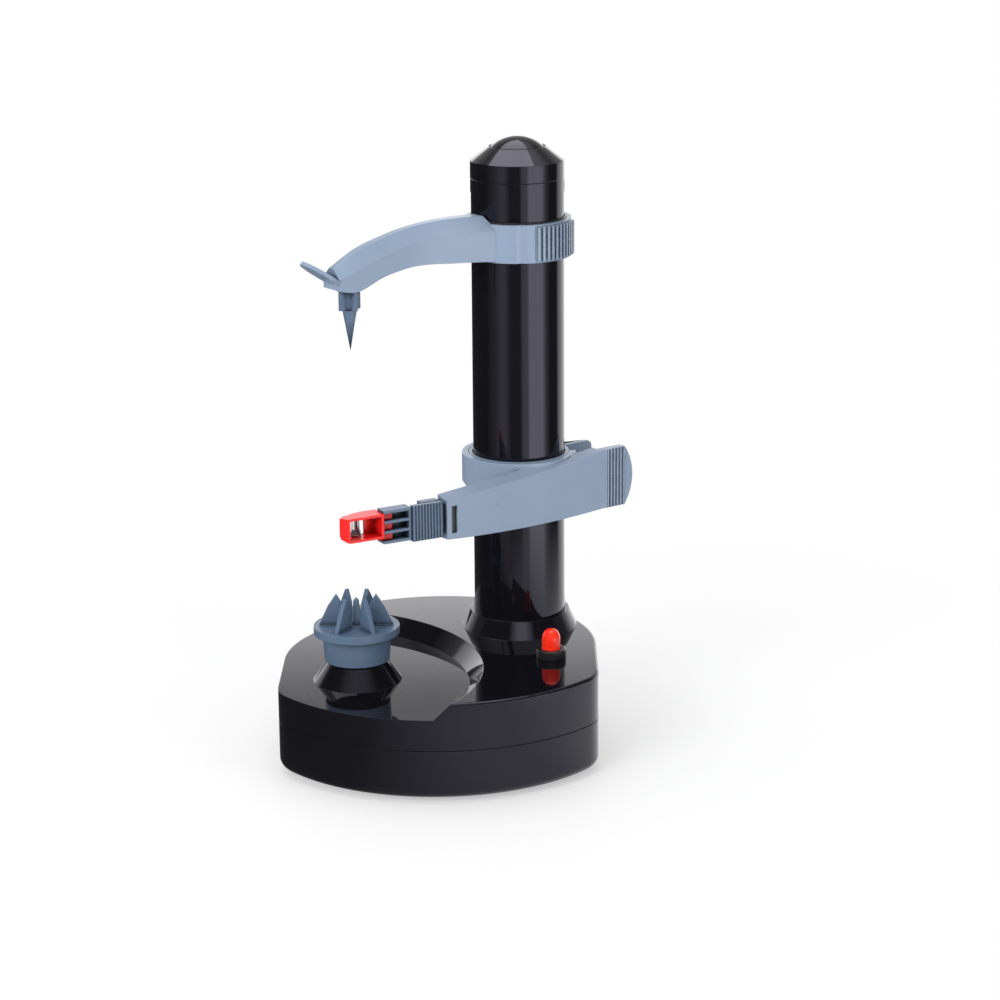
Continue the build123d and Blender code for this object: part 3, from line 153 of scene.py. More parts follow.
# each noise has its detail and roughness here, and each span the values between which a mask rises
skinPattern = {"smudgeNoise": (5, 0.6), "smudgeSpan": (0.3, 0.7), "grainNoise": (2, 0.5)}
wearAndHighlightPattern = {"samples": 4, "edgeSpan": (0.995, 0.9), "patchNoise": (4, 0.6), "patchSpan": (0.42, 0.62)}
scratchPattern = {"noise": (3, 0.6), "crestSpan": (0.6, 0.75)}
shadePattern = {"samples": 8, "openSpan": (0.85, 0.45)}


def buildMouldedSkin():
    # broad smudges shift the tint and lift the roughness, and a fine grain gives the height
    group, entry, leave = newGroup(
        "mouldedSkin",
        [
            ("Colour", "NodeSocketColor", (0.5, 0.5, 0.5, 1)),
            ("Smudge Colour", "NodeSocketColor", (0.55, 0.55, 0.55, 1)),
            ("Roughness", "NodeSocketFloat", 0.3),
            ("Smudge Roughness", "NodeSocketFloat", 0.4),
            ("Smudge Scale", "NodeSocketFloat", 30),
            ("Grain Scale", "NodeSocketFloat", 900),
        ],
        [("Colour", "NodeSocketColor"), ("Roughness", "NodeSocketFloat"), ("Height", "NodeSocketFloat")],
    )
    given = entry.outputs
    where = objectPlace(group)
    smudge = noiseNode(group, where, given["Smudge Scale"], *skinPattern["smudgeNoise"])
    span = skinPattern["smudgeSpan"]
    amount = rangeNode(group, smudge, *span, 0, 1)
    tint = mixColour(group, amount, given["Colour"], given["Smudge Colour"])
    rough = rangeNode(group, smudge, *span, given["Roughness"], given["Smudge Roughness"])
    grain = noiseNode(group, where, given["Grain Scale"], *skinPattern["grainNoise"])
    for label, value in (("Colour", tint), ("Roughness", rough), ("Height", grain)):
        group.links.new(value, leave.inputs[label])
    return group


def buildEdgeWearAndHighlight():
    # where the rounded normal leaves the true one there is an edge, lightened in patches: partly rubbed
    # wear, partly a painted highlight
    group, entry, leave = newGroup(
        "edgeWearAndHighlight",
        [
            ("Edge Width", "NodeSocketFloat", 0.0005),
            ("Patch Scale", "NodeSocketFloat", 160),
            ("Amount", "NodeSocketFloat", 0.5),
        ],
        [("Mask", "NodeSocketFloat"), ("Normal", "NodeSocketVector")],
    )
    rounded = group.nodes.new("ShaderNodeBevel")
    rounded.samples = wearAndHighlightPattern["samples"]
    feed(group, rounded.inputs["Radius"], entry.outputs["Edge Width"])
    trueNormal = group.nodes.new("ShaderNodeNewGeometry").outputs["Normal"]
    agree = vectorNode(group, "DOT_PRODUCT", rounded.outputs["Normal"], trueNormal)
    edge = rangeNode(group, agree, *wearAndHighlightPattern["edgeSpan"], 0, 1)
    patches = noiseNode(group, objectPlace(group), entry.outputs["Patch Scale"], *wearAndHighlightPattern["patchNoise"])
    patch = rangeNode(group, patches, *wearAndHighlightPattern["patchSpan"], 0, 1)
    wornAndLit = mathNode(group, "MULTIPLY", mathNode(group, "MULTIPLY", edge, patch), entry.outputs["Amount"])
    group.links.new(rounded.outputs["Normal"], leave.inputs["Normal"])
    group.links.new(wornAndLit, leave.inputs["Mask"])
    return group


def buildHairScratches():
    # long thin lines: a noise that is drawn out along one way, and only its crest kept
    group, entry, leave = newGroup(
        "hairScratches",
        [("Scale", "NodeSocketFloat", 300), ("Stretch", "NodeSocketVector", (1, 1, 0.03))],
        [("Mask", "NodeSocketFloat")],
    )
    drawn = vectorNode(group, "MULTIPLY", objectPlace(group), entry.outputs["Stretch"])
    lines = noiseNode(group, drawn, entry.outputs["Scale"], *scratchPattern["noise"])
    group.links.new(rangeNode(group, lines, *scratchPattern["crestSpan"], 0, 1), leave.inputs["Mask"])
    return group


def buildDeepShade():
    # painted shade: narrow places are darkened in the colour, and the mask rises as the open share falls
    group, entry, leave = newGroup(
        "deepShade",
        [("Reach", "NodeSocketFloat", 0.004), ("Amount", "NodeSocketFloat", 0.8)],
        [("Mask", "NodeSocketFloat")],
    )
    openness = group.nodes.new("ShaderNodeAmbientOcclusion")
    openness.samples = shadePattern["samples"]
    group.links.new(entry.outputs["Reach"], openness.inputs["Distance"])
    paintedShade = rangeNode(group, openness.outputs["AO"], *shadePattern["openSpan"], 0, 1)
    group.links.new(mathNode(group, "MULTIPLY", paintedShade, entry.outputs["Amount"]), leave.inputs["Mask"])
    return group


mouldedSkin = buildMouldedSkin()
edgeWearAndHighlight = buildEdgeWearAndHighlight()
deepShade = buildDeepShade()
hairScratches = buildHairScratches()
print("surface effects built")

# Materials. Of each look, rough is the roughness without and with a smudge, bump the strength and
# the depth in metres, gleam the tint of its highlight, and plainLook fills in what it doesn't name.
# The edge wear entry lightens edges in patches, partly as rubbed wear and partly as a painted highlight,
# and the recess entry paints shade into narrow places.
plainLook = {
    "metallic": 0, "ior": 1.46, "gleam": (1, 1, 1), "scatter": 0, "scatterRadius": (0.002, 0.001, 0.001),
}
steelScratch = {"scale": 500, "stretch": (1, 1, 0.06), "depth": 0.6, "rough": 0.12}
looks = {
    "glossBlack": {
        "colour": (0.0040, 0.0037, 0.0052), "smudgeColour": (0.0055, 0.0050, 0.0072),
        "rough": (0.03, 0.065), "smudgeScale": 14, "grainScale": 120, "bump": (0.02, 0.0002),
        "ior": 1.5, "gleam": (0.84, 0.8, 1.0),
        "wearAndHighlight": {"width": 0.0004, "amount": 0.12, "colour": (0.02, 0.02, 0.024), "rough": 0.12},
        "scratch": {"scale": 260, "stretch": (1, 0.25, 0.05), "depth": -0.35, "rough": 0.05},
    },
    "satinBlack": {
        "colour": (0.010, 0.010, 0.011), "smudgeColour": (0.016, 0.016, 0.017), "rough": (0.22, 0.34),
        "smudgeScale": 60, "grainScale": 1400, "bump": (0.12, 0.0001),
        "wearAndHighlight": {"width": 0.0004, "amount": 0.5, "colour": (0.05, 0.05, 0.055), "rough": 0.1},
    },
    "blueGrey": {
        "colour": (0.222, 0.290, 0.395), "smudgeColour": (0.24, 0.308, 0.415), "rough": (0.27, 0.36),
        "smudgeScale": 35, "grainScale": 1500, "bump": (0.07, 0.0001),
        "wearAndHighlight": {"width": 0.0005, "amount": 0.6, "colour": (0.36, 0.44, 0.55), "rough": -0.08},
        "scratch": {"scale": 320, "stretch": (0.1, 0.1, 1), "depth": -0.4, "rough": 0.05},
        "paintedShade": {"reach": 0.003, "amount": 0.7, "colour": (0.03, 0.045, 0.065)},
    },
    "darkBlueGrey": {
        "colour": (0.085, 0.132, 0.205), "smudgeColour": (0.096, 0.146, 0.222), "rough": (0.28, 0.38),
        "smudgeScale": 60, "grainScale": 1500, "bump": (0.08, 0.0001),
        "wearAndHighlight": {"width": 0.0004, "amount": 0.5, "colour": (0.18, 0.24, 0.32), "rough": -0.08},
        "paintedShade": {"reach": 0.004, "amount": 0.95, "colour": (0.006, 0.009, 0.014)},
    },
    "redGuard": {
        "colour": (0.80, 0.012, 0.012), "smudgeColour": (0.74, 0.009, 0.009), "rough": (0.2, 0.3),
        "smudgeScale": 90, "grainScale": 900, "bump": (0.05, 0.0001), "scatter": 0.2,
        "scatterRadius": (0.003, 0.0004, 0.0004), "ior": 1.4,
        "wearAndHighlight": {"width": 0.0003, "amount": 0.4, "colour": (0.85, 0.05, 0.045), "rough": 0.1},
        "paintedShade": {"reach": 0.005, "amount": 0.8, "colour": (0.25, 0.002, 0.002)},
    },
    "orangeButton": {
        "colour": (0.93, 0.03, 0.010), "smudgeColour": (0.88, 0.024, 0.008), "rough": (0.16, 0.24),
        "smudgeScale": 120, "grainScale": 1200, "bump": (0.04, 0.0001), "scatter": 0.2,
        "scatterRadius": (0.003, 0.0006, 0.0004),
    },
    "bladeSteel": {
        "colour": (0.62, 0.63, 0.65), "smudgeColour": (0.56, 0.57, 0.6), "rough": (0.16, 0.24),
        "smudgeScale": 200, "grainScale": 2600, "bump": (0.1, 0.00005), "metallic": 1,
        "scratch": steelScratch,
    },
    "plainSteel": {
        "colour": (0.46, 0.46, 0.47), "smudgeColour": (0.4, 0.4, 0.42), "rough": (0.28, 0.38),
        "smudgeScale": 120, "grainScale": 2000, "bump": (0.15, 0.00005), "metallic": 1,
        "scratch": steelScratch,
    },
    "bushBrass": {
        "colour": (0.6, 0.42, 0.2), "smudgeColour": (0.5, 0.34, 0.16), "rough": (0.32, 0.42),
        "smudgeScale": 150, "grainScale": 2400, "bump": (0.2, 0.00005), "metallic": 1,
    },
    "gearNylon": {
        "colour": (0.78, 0.77, 0.72), "smudgeColour": (0.72, 0.71, 0.66), "rough": (0.38, 0.48),
        "smudgeScale": 60, "grainScale": 1500, "bump": (0.1, 0.0001), "scatter": 0.15,
        "scatterRadius": (0.002, 0.002, 0.0018),
    },
    "footRubber": {
        "colour": (0.016, 0.016, 0.016), "smudgeColour": (0.035, 0.034, 0.033), "rough": (0.7, 0.85),
        "smudgeScale": 80, "grainScale": 1200, "bump": (0.3, 0.0002),
    },
    "cellWrap": {
        "colour": (0.06, 0.07, 0.1), "smudgeColour": (0.08, 0.09, 0.12), "rough": (0.22, 0.3),
        "smudgeScale": 60, "grainScale": 1000, "bump": (0.05, 0.0001),
    },
}


def finishMaterial(name, ownLook):
    look = plainLook | ownLook
    material = bpy.data.materials.new(name)
    material.use_nodes = True
    tree = material.node_tree
    shader = tree.nodes["Principled BSDF"]
    bump = tree.nodes.new("ShaderNodeBump")
    skin = placeGroup(
        tree,
        mouldedSkin,
        {
            "Colour": (*look["colour"], 1),
            "Smudge Colour": (*look["smudgeColour"], 1),
            "Roughness": look["rough"][0],
            "Smudge Roughness": look["rough"][1],
            "Smudge Scale": look["smudgeScale"],
            "Grain Scale": look["grainScale"],
        },
    )
    colour = skin.outputs["Colour"]
    rough = skin.outputs["Roughness"]
    height = skin.outputs["Height"]
    # edges lighter in patches: partly rubbed wear, partly a painted highlight along the edges
    if "wearAndHighlight" in look:
        edge = look["wearAndHighlight"]
        wearAndHighlight = placeGroup(tree, edgeWearAndHighlight, {"Edge Width": edge["width"], "Amount": edge["amount"]})
        mask = wearAndHighlight.outputs["Mask"]
        colour = mixColour(tree, mask, colour, (*edge["colour"], 1))
        rough = mathNode(tree, "MULTIPLY_ADD", mask, edge["rough"], rough)
        tree.links.new(wearAndHighlight.outputs["Normal"], bump.inputs["Normal"])
    # painted shade: narrow places darkened towards the recess colour
    if "paintedShade" in look:
        paintedShade = look["paintedShade"]
        shade = placeGroup(tree, deepShade, {"Reach": paintedShade["reach"], "Amount": paintedShade["amount"]})
        colour = mixColour(tree, shade.outputs["Mask"], colour, (*paintedShade["colour"], 1))
    if "scratch" in look:
        hair = look["scratch"]
        lines = placeGroup(tree, hairScratches, {"Scale": hair["scale"], "Stretch": hair["stretch"]})
        mask = lines.outputs["Mask"]
        height = mathNode(tree, "MULTIPLY_ADD", mask, hair["depth"], height)
        rough = mathNode(tree, "MULTIPLY_ADD", mask, hair["rough"], rough)
    bump.inputs["Strength"].default_value = look["bump"][0]
    bump.inputs["Distance"].default_value = look["bump"][1]
    tree.links.new(height, bump.inputs["Height"])
    tree.links.new(colour, shader.inputs["Base Color"])
    tree.links.new(rough, shader.inputs["Roughness"])
    tree.links.new(bump.outputs["Normal"], shader.inputs["Normal"])
    shader.inputs["Metallic"].default_value = look["metallic"]
    shader.inputs["IOR"].default_value = look["ior"]
    shader.inputs["Specular Tint"].default_value = (*look["gleam"], 1)
    shader.inputs["Subsurface Weight"].default_value = look["scatter"]
    shader.inputs["Subsurface Radius"].default_value = look["scatterRadius"]
    return material


materials = {name: finishMaterial(name, look) for name, look in looks.items()}

# Each finish: the record's slot for it and the CAD nodes that wear it
finishes = {
    "glossBlack": (
        "gloss_black",
        ("base_lower_shell", "base_upper_shell", "column_tube", "column_cap", "cap_plug", "battery_door"),
    ),
    "satinBlack": ("bezel_black", ("switch_bezel", "ring_liner", "switch_body", "adapter_inlet")),
    "blueGrey": ("blue_grey", ("upper_arm", "carriage_sleeve", "peel_arm")),
    "darkBlueGrey": ("dark_blue_grey", ("food_holder", "top_spike", "blade_grip", "blade_carrier")),
    "redGuard": ("red_guard", ("blade_guard",)),
    "orangeButton": ("orange_button", ("switch_button",)),
    "bladeSteel": ("blade_steel", ("peel_blade", "blade_pins")),
    "plainSteel": (
        "plain_steel",
        (
            "drive_spindle", "lead_screw", "gear_axles", "motor_shaft", "gear_plate", "gear_plate_screws",
            "base_screws", "battery_contacts", "motor", "swing_spring", "switch_spring",
        ),
    ),
    "bushBrass": ("bush_brass", ("spindle_bush", "screw_bushes")),
    "gearNylon": (
        "gear_nylon",
        ("spindle_gear", "idler_gear", "screw_gear", "reduction_gear", "motor_pinion", "half_nut"),
    ),
    "footRubber": ("foot_rubber", ("rubber_feet",)),
    "cellWrap": ("cell_wrap", ("battery_cells",)),
}
finishOf = {name: finish for finish, (_, names) in finishes.items() for name in names}
for name, finish in finishOf.items():
    mesh = nodes[name].data
    mesh.materials.clear()
    mesh.materials.append(materials[finish])
print("materials laid on", len(finishOf), "nodes")


def finished(piece, body, finish):
    # a new piece gets its material and rides on its body
    piece.data.materials.clear()
    piece.data.materials.append(materials[finish])
    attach(piece, body)
    return piece


def smoothMesh(mesh, sharpAngle):
    # smooth shading, but for the edges that are sharper than the angle
    mesh.polygons.foreach_set("use_smooth", np.ones(len(mesh.polygons), bool))
    mesh.set_sharp_from_angle(angle=radians(sharpAngle))


# Moulded pieces: a copy of the node whose flat areas are made one face. A width rounds its edges, and
# 0 leaves them, because a Bevel modifier can draw spikes out of a mesh with slivers or thin steps.
softening = {
    "meltAngle": 0.05,
    "mergeGap": 0.000002,
    "sharpAngle": 32,
    "segments": 2,
    "widths": {
        "base_lower_shell": 0, "base_upper_shell": 0, "column_tube": 0.0003, "column_cap": 0,
        "cap_plug": 0, "battery_door": 0.0004, "switch_bezel": 0.0003, "ring_liner": 0.0002,
        "adapter_inlet": 0, "upper_arm": 0, "carriage_sleeve": 0.0003, "peel_arm": 0.0004,
        "food_holder": 0.0003, "top_spike": 0.0002, "blade_grip": 0.00025, "blade_carrier": 0.0002,
        "blade_guard": 0, "peel_blade": 0.00006, "rubber_feet": 0.0004,
        "half_nut": 0.0002, "switch_spring": 0,
    },
}


def meltedCopy(name):
    source = nodes[name].data
    corners = np.empty(len(source.loops), np.int32)
    source.loops.foreach_get("vertex_index", corners)
    mesh = bpy.data.meshes.new(name + "Soft")
    mesh.from_pydata(nodePoints(name).tolist(), [], corners.reshape(-1, 3).tolist())
    work = bmesh.new()
    work.from_mesh(mesh)
    bmesh.ops.remove_doubles(work, verts=work.verts, dist=softening["mergeGap"])
    flat = radians(softening["meltAngle"])
    bmesh.ops.dissolve_limit(work, angle_limit=flat, verts=work.verts, edges=work.edges)
    work.to_mesh(mesh)
    work.free()
    smoothMesh(mesh, softening["sharpAngle"])
    return mesh


def softened(name, width):
    piece = newObject(name + "Soft", meltedCopy(name))
    if width:
        rounding = piece.modifiers.new("rounding", "BEVEL")
        rounding.width = width
        rounding.segments = softening["segments"]
        rounding.limit_method = "ANGLE"
        rounding.angle_limit = radians(softening["sharpAngle"])
        rounding.use_clamp_overlap = False
        rounding.harden_normals = True
    else:
        # the large faces lead the shading, so that a wall stays even up to its edge
        piece.modifiers.new("evenShading", "WEIGHTED_NORMAL").keep_sharp = True
    finished(piece, bodyOf[name], finishOf[name])
    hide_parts(name)
    return piece


soft = {name: softened(name, width) for name, width in softening["widths"].items()}


def buildSpringPress():
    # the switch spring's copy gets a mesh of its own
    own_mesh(soft["switch_spring"])


buildSpringPress()
print("moulded pieces copied:", len(soft))

# Turned shapes: a profile of radius and height goes round an upright axis


def gridFaces(rows, columns):
    # quads of a grid whose columns close round, and the fans of its two poles: the poles' points come
    # after the grid's, the lower one first
    row, column = np.meshgrid(np.arange(rows - 1), np.arange(columns), indexing="ij")
    near = row * columns + column
    far = row * columns + (column + 1) % columns
    quads = np.stack([near, far, far + columns, near + columns], -1).reshape(-1, 4)
    ring = np.arange(columns)
    after = (ring + 1) % columns
    last = (rows - 1) * columns
    poles = rows * columns
    bottomFan = np.stack([after, ring, np.full(columns, poles)], -1)
    topFan = np.stack([ring + last, after + last, np.full(columns, poles + 1)], -1)
    return quads, np.concatenate([bottomFan, topFan])


def turned(centre, profile, around, shape=None):
    # x and y are the radius times the cosine and sine of the turn, and the poles sit in the middles of
    # the end rings. The shape function may shift radius and height by the turn
    turn = np.linspace(0, 2 * pi, around, endpoint=False)
    turns, radius = np.meshgrid(turn, profile[:, 0])
    height = np.repeat(profile[:, 1:2], around, 1)
    if shape:
        radius, height = shape(turns, radius, height)
    grid = np.stack([centre[0] + radius * np.cos(turns), centre[1] + radius * np.sin(turns), height], -1)
    poles = np.array([(*centre, height[0].mean()), (*centre, height[-1].mean())])
    return np.concatenate([grid.reshape(-1, 3), poles]), gridFaces(len(profile), around)


def bead(middle, half, turn, square, around=24, rows=13):
    # a rounded block: a ball whose cosines and sines of both angles are raised to a small power,
    # which squares it
    def squared(value):
        return np.sign(value) * np.abs(value) ** square

    tilt = np.linspace(-pi / 2, pi / 2, rows + 2)[1:-1]
    turns, tilts = np.meshgrid(np.linspace(0, 2 * pi, around, endpoint=False), tilt)
    along = half[0] * squared(np.cos(turns)) * squared(np.cos(tilts))
    across = half[1] * squared(np.sin(turns)) * squared(np.cos(tilts))
    up = half[2] * squared(np.sin(tilts))
    grid = np.stack([along, across, up], -1).reshape(-1, 3)
    local = np.concatenate([grid, [(0, 0, -half[2]), (0, 0, half[2])]])
    turning = np.array([(cos(turn), sin(turn), 0), (-sin(turn), cos(turn), 0), (0, 0, 1)])
    return local @ turning + np.array(middle), gridFaces(rows, around)


def builtFrom(name, shapes, sharpAngle=40):
    # one mesh from several shapes
    points = []
    faces = []
    for spots, (quads, fans) in shapes:
        shift = len(points)
        points += spots.tolist()
        faces += (quads + shift).tolist() + (fans + shift).tolist()
    mesh = bpy.data.meshes.new(name)
    mesh.from_pydata(points, [], faces)
    smoothMesh(mesh, sharpAngle)
    return newObject(name, mesh)


leadScrew = {
    "pitch": 0.002, "depth": 0.0008, "plainEnd": 0.002, "fade": 0.004, "around": 28, "rowsPerPitch": 8,
    "crestFrom": 0.375, "flank": 0.125,  # shares of the pitch, from the root's middle
    "crestShare": 0.95, "stepDown": 0.0001, "lip": 0.00001,  # where the CAD's bar changes its radius
}


def buildLeadScrew():
    low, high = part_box("lead_screw")
    centre = middleOf("lead_screw")
    crest = (high[0] - low[0]) / 2
    points = nodePoints("lead_screw")
    reach = np.hypot(points[:, 0] - centre[0], points[:, 1] - centre[1])
    bottom = points[reach > leadScrew["crestShare"] * crest, 2].min()
    journal = reach[points[:, 2] < bottom - leadScrew["stepDown"]].max()
    count = int((high[2] - bottom) / leadScrew["pitch"] * leadScrew["rowsPerPitch"])
    shaft = np.stack([np.full(count, crest), np.linspace(bottom, high[2], count)], -1)
    profile = np.concatenate([[(journal, low[2]), (journal, bottom - leadScrew["lip"])], shaft])

    def thread(turns, radius, height):
        # the phase is height over pitch less turn, with a flat root at its middle, a slope on each
        # side and a flat crest, and the depth fades out at both ends
        phase = np.mod((height - bottom) / leadScrew["pitch"] - turns / (2 * pi), 1)
        groove = np.clip((leadScrew["crestFrom"] - np.abs(phase - 0.5)) / leadScrew["flank"], 0, 1)
        inward = np.minimum(height - bottom, high[2] - height) - leadScrew["plainEnd"]
        faded = groove * np.clip(inward / leadScrew["fade"], 0, 1)
        return radius - leadScrew["depth"] * faded, height

    piece = builtFrom("leadScrewThread", [turned(centre, profile, leadScrew["around"], thread)])
    finished(piece, "screw", "plainSteel")
    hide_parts("lead_screw")


caseScrew = {
    "headRadius": 0.0029, "rimRadius": 0.0026, "head": 0.0022, "chamfer": 0.0003, "shank": 0.00146,
    "tip": 0.0009, "tipLength": 0.0012, "slotWidth": 0.00042, "slotReach": 0.0018, "slotDepth": 0.0013,
    "slotSlope": 4, "faceStart": 0.0001, "faceRings": 18, "around": 40, "pitch": 0.0012,
    "threadDepth": 0.0003, "plainShank": 0.004, "rowsPerPitch": 6, "tipLevel": 0.00001, "apart": 0.00584,
}


def screwMiddles(top):
    # the points of the flat tips, gathered to one middle for each screw
    points = nodePoints("base_screws")
    tips = points[points[:, 2] > top - caseScrew["tipLevel"], :2]
    middles = []
    for tip in tips:
        if all(np.hypot(*(tip - middle)) >= caseScrew["apart"] for middle in middles):
            middles.append(tips[np.hypot(*(tips - tip).T) < caseScrew["apart"]].mean(0))
    return middles


def buildCaseScrews():
    low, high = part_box("base_screws")
    threadEnd = high[2] - caseScrew["tipLength"]
    neck = low[2] + caseScrew["head"]
    rings = np.linspace(caseScrew["faceStart"], caseScrew["rimRadius"], caseScrew["faceRings"])
    face = np.stack([rings, np.full(len(rings), low[2])], -1)
    rows = int((threadEnd - neck) / caseScrew["pitch"] * caseScrew["rowsPerPitch"])
    shank = np.stack([np.full(rows, caseScrew["shank"]), np.linspace(neck, threadEnd, rows)], -1)
    side = [(caseScrew["headRadius"], low[2] + caseScrew["chamfer"]), (caseScrew["headRadius"], neck)]
    profile = np.concatenate([face, side, shank, [(caseScrew["tip"], high[2])]])

    def crossAndThread(turns, radius, height):
        # on the face the height rises by a cross whose walls slope, and on the shank the radius falls
        # by a wave of height over pitch less turn
        along = np.abs(radius * np.cos(turns))
        across = np.abs(radius * np.sin(turns))
        narrow = np.minimum(along, across) / caseScrew["slotWidth"]
        wide = np.maximum(along, across) / caseScrew["slotReach"]
        slope = caseScrew["slotSlope"]
        cross = np.clip(slope * (1 - narrow), 0, 1) * np.clip(slope * (1 - wide), 0, 1)
        onFace = height < low[2] + caseScrew["chamfer"] / 2
        phase = np.mod((height - neck) / caseScrew["pitch"] - turns / (2 * pi), 1)
        onShank = (height > neck + caseScrew["plainShank"]) & (height < threadEnd)
        groove = caseScrew["threadDepth"] * np.abs(2 * phase - 1) * onShank
        return radius - groove, height + caseScrew["slotDepth"] * cross * onFace

    middles = screwMiddles(high[2])
    shapes = [turned(middle, profile, caseScrew["around"], crossAndThread) for middle in middles]
    piece = builtFrom("caseScrews", shapes)
    finished(piece, "base", "plainSteel")
    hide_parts("base_screws")


pushButton = {
    "stem": 0.0015, "collar": 0.005, "radius": 0.0044, "crown": 0.0003, "power": 2.3,
    "collarBottom": 0.006, "collarTop": 0.008, "domeBottom": 0.0137,  # heights over the stem's foot
    "rows": 16, "around": 48,
}


def buildPushButton():
    low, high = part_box("switch_button")
    collarBottom = low[2] + pushButton["collarBottom"]
    collarTop = low[2] + pushButton["collarTop"]
    domeBottom = low[2] + pushButton["domeBottom"]
    # the dome follows a rounded square: radius and rise to a power add up to one
    rise = np.sin(np.linspace(0, pi / 2, pushButton["rows"]))[:-1]
    across = pushButton["radius"] * (1 - rise ** pushButton["power"]) ** (1 / pushButton["power"])
    dome = np.stack([across, domeBottom + rise * (high[2] - domeBottom)], -1)
    foot = [
        (pushButton["stem"], low[2]), (pushButton["stem"], collarBottom),
        (pushButton["collar"], collarBottom), (pushButton["collar"], collarTop),
        (pushButton["radius"], collarTop),
    ]
    profile = np.concatenate([foot, dome, [(pushButton["crown"], high[2])]])
    piece = builtFrom("buttonDome", [turned(middleOf("switch_button"), profile, pushButton["around"])])
    finished(piece, "button", "orangeButton")
    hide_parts("switch_button")


doorRidges = {
    "first": 0.0085, "pitch": 0.0028, "count": 5, "half": (0.0008, 0.009, 0.0006), "square": 0.45,
    "sharpAngle": 60,
}


def buildDoorRidges():
    low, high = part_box("battery_door")
    across = (low[1] + high[1]) / 2
    along = low[0] + doorRidges["first"] + doorRidges["pitch"] * np.arange(doorRidges["count"])
    shapes = [bead((spot, across, low[2]), doorRidges["half"], 0, doorRidges["square"]) for spot in along]
    finished(builtFrom("doorRidges", shapes, doorRidges["sharpAngle"]), "base", "glossBlack")


catchShadePlate = {
    "along": -0.0605, "front": 0.0284, "height": 0.1195, "turn": 37.2,
    "half": (0.00148, 0.0003, 0.0063), "square": 0.12, "around": 32, "rows": 17,
}


def buildCatchShadePlate():
    # a dark satin plate behind the window in the peel arm's front, standing in for the shade in the deep
    # window, placed from the column along the arm
    column = middleOf("column_tube")
    turn = radians(catchShadePlate["turn"])
    middle = (
        column[0] + catchShadePlate["along"] * cos(turn) + catchShadePlate["front"] * sin(turn),
        column[1] + catchShadePlate["along"] * sin(turn) - catchShadePlate["front"] * cos(turn),
        catchShadePlate["height"],
    )
    grid = (catchShadePlate["around"], catchShadePlate["rows"])
    shape = bead(middle, catchShadePlate["half"], turn, catchShadePlate["square"], *grid)
    finished(builtFrom("catchShadePlate", [shape]), "peel_arm", "satinBlack")


buildLeadScrew()
buildCaseScrews()
buildPushButton()
buildDoorRidges()
buildCatchShadePlate()
print("threads, screws, button, ridges and catch built")

# Floor, sky, lights and camera. Gloss black shows what it mirrors, so the floor and the sky carry bright
# and dark cards that the camera doesn't see.


def seenNodes(tree):
    # camera rays, and the glossy and transmitted rays that metal and glass send out
    path = tree.nodes.new("ShaderNodeLightPath")
    mirrored = mathNode(tree, "MAXIMUM", path.outputs["Is Glossy Ray"], path.outputs["Is Transmission Ray"])
    return path.outputs["Is Camera Ray"], mirrored


# rings of cards round the column: degrees to the right of the front, and the level there
cardRings = {
    "far": (
        (-180, 0.04), (-82, 0.04), (-72, 0.18), (-56, 0.36), (-42, 0.72), (-32, 0.72), (-24, 0.35),
        (-18, 0.12), (5, 0.12), (11, 0.95), (23, 1.15), (28, 2.6), (60, 2.5), (72, 0.6), (84, 0.08),
        (108, 0.05), (118, 1.2), (150, 1.7), (166, 1.7), (180, 0.3),
    ),
    "near": (
        (-180, 0.1), (-100, 0.05), (-60, 0.06), (-38, 0.12), (-16, 0.55), (0, 0.8), (20, 0.85), (40, 1.1),
        (100, 1.35), (150, 1.5), (180, 0.3),
    ),
    "white": 3.0,  # the level that white stands for in a ramp
    "passing": (0.2, 0.42),  # the distances between which the near ring passes into the far one
}


def cardRing(tree, turn, stops):
    # a ramp over the turn, whose stops are greys
    ring = tree.nodes.new("ShaderNodeValToRGB")
    tree.links.new(rangeNode(tree, turn, -pi, pi, 0, 1), ring.inputs["Fac"])
    for index, (angle, level) in enumerate(stops):
        stop = ring.color_ramp.elements[index] if index < 2 else ring.color_ramp.elements.new(1)
        stop.position = angle / 360 + 0.5
        grey = level / cardRings["white"]
        stop.color = (grey, grey, grey, 1)
    return mathNode(tree, "MULTIPLY", ring.outputs["Color"], cardRings["white"])


def mirroredCards(tree, where, distance):
    # the level that a glossy piece sees in a spot of the floor: its turn round the column picks the card
    apart = tree.nodes.new("ShaderNodeSeparateXYZ")
    fromColumn = vectorNode(tree, "SUBTRACT", where, (*middleOf("column_tube"), 0))
    tree.links.new(fromColumn, apart.inputs[0])
    forward = mathNode(tree, "MULTIPLY", apart.outputs["Y"], -1.0)
    turn = mathNode(tree, "ARCTAN2", apart.outputs["X"], forward)
    far = cardRing(tree, turn, cardRings["far"])
    near = cardRing(tree, turn, cardRings["near"])
    passed = rangeNode(tree, distance, *cardRings["passing"], 0, 1)
    step = mathNode(tree, "MULTIPLY", mathNode(tree, "SUBTRACT", far, near), passed)
    return mathNode(tree, "ADD", near, step)


paleFloor = {
    "colour": (0.86, 0.86, 0.87), "roughness": 0.6, "halfSize": 8.0,
    "near": 0.12, "nearWhite": 0.45, "far": 0.42, "farWhite": 1.0,  # the share of plain white by distance
}


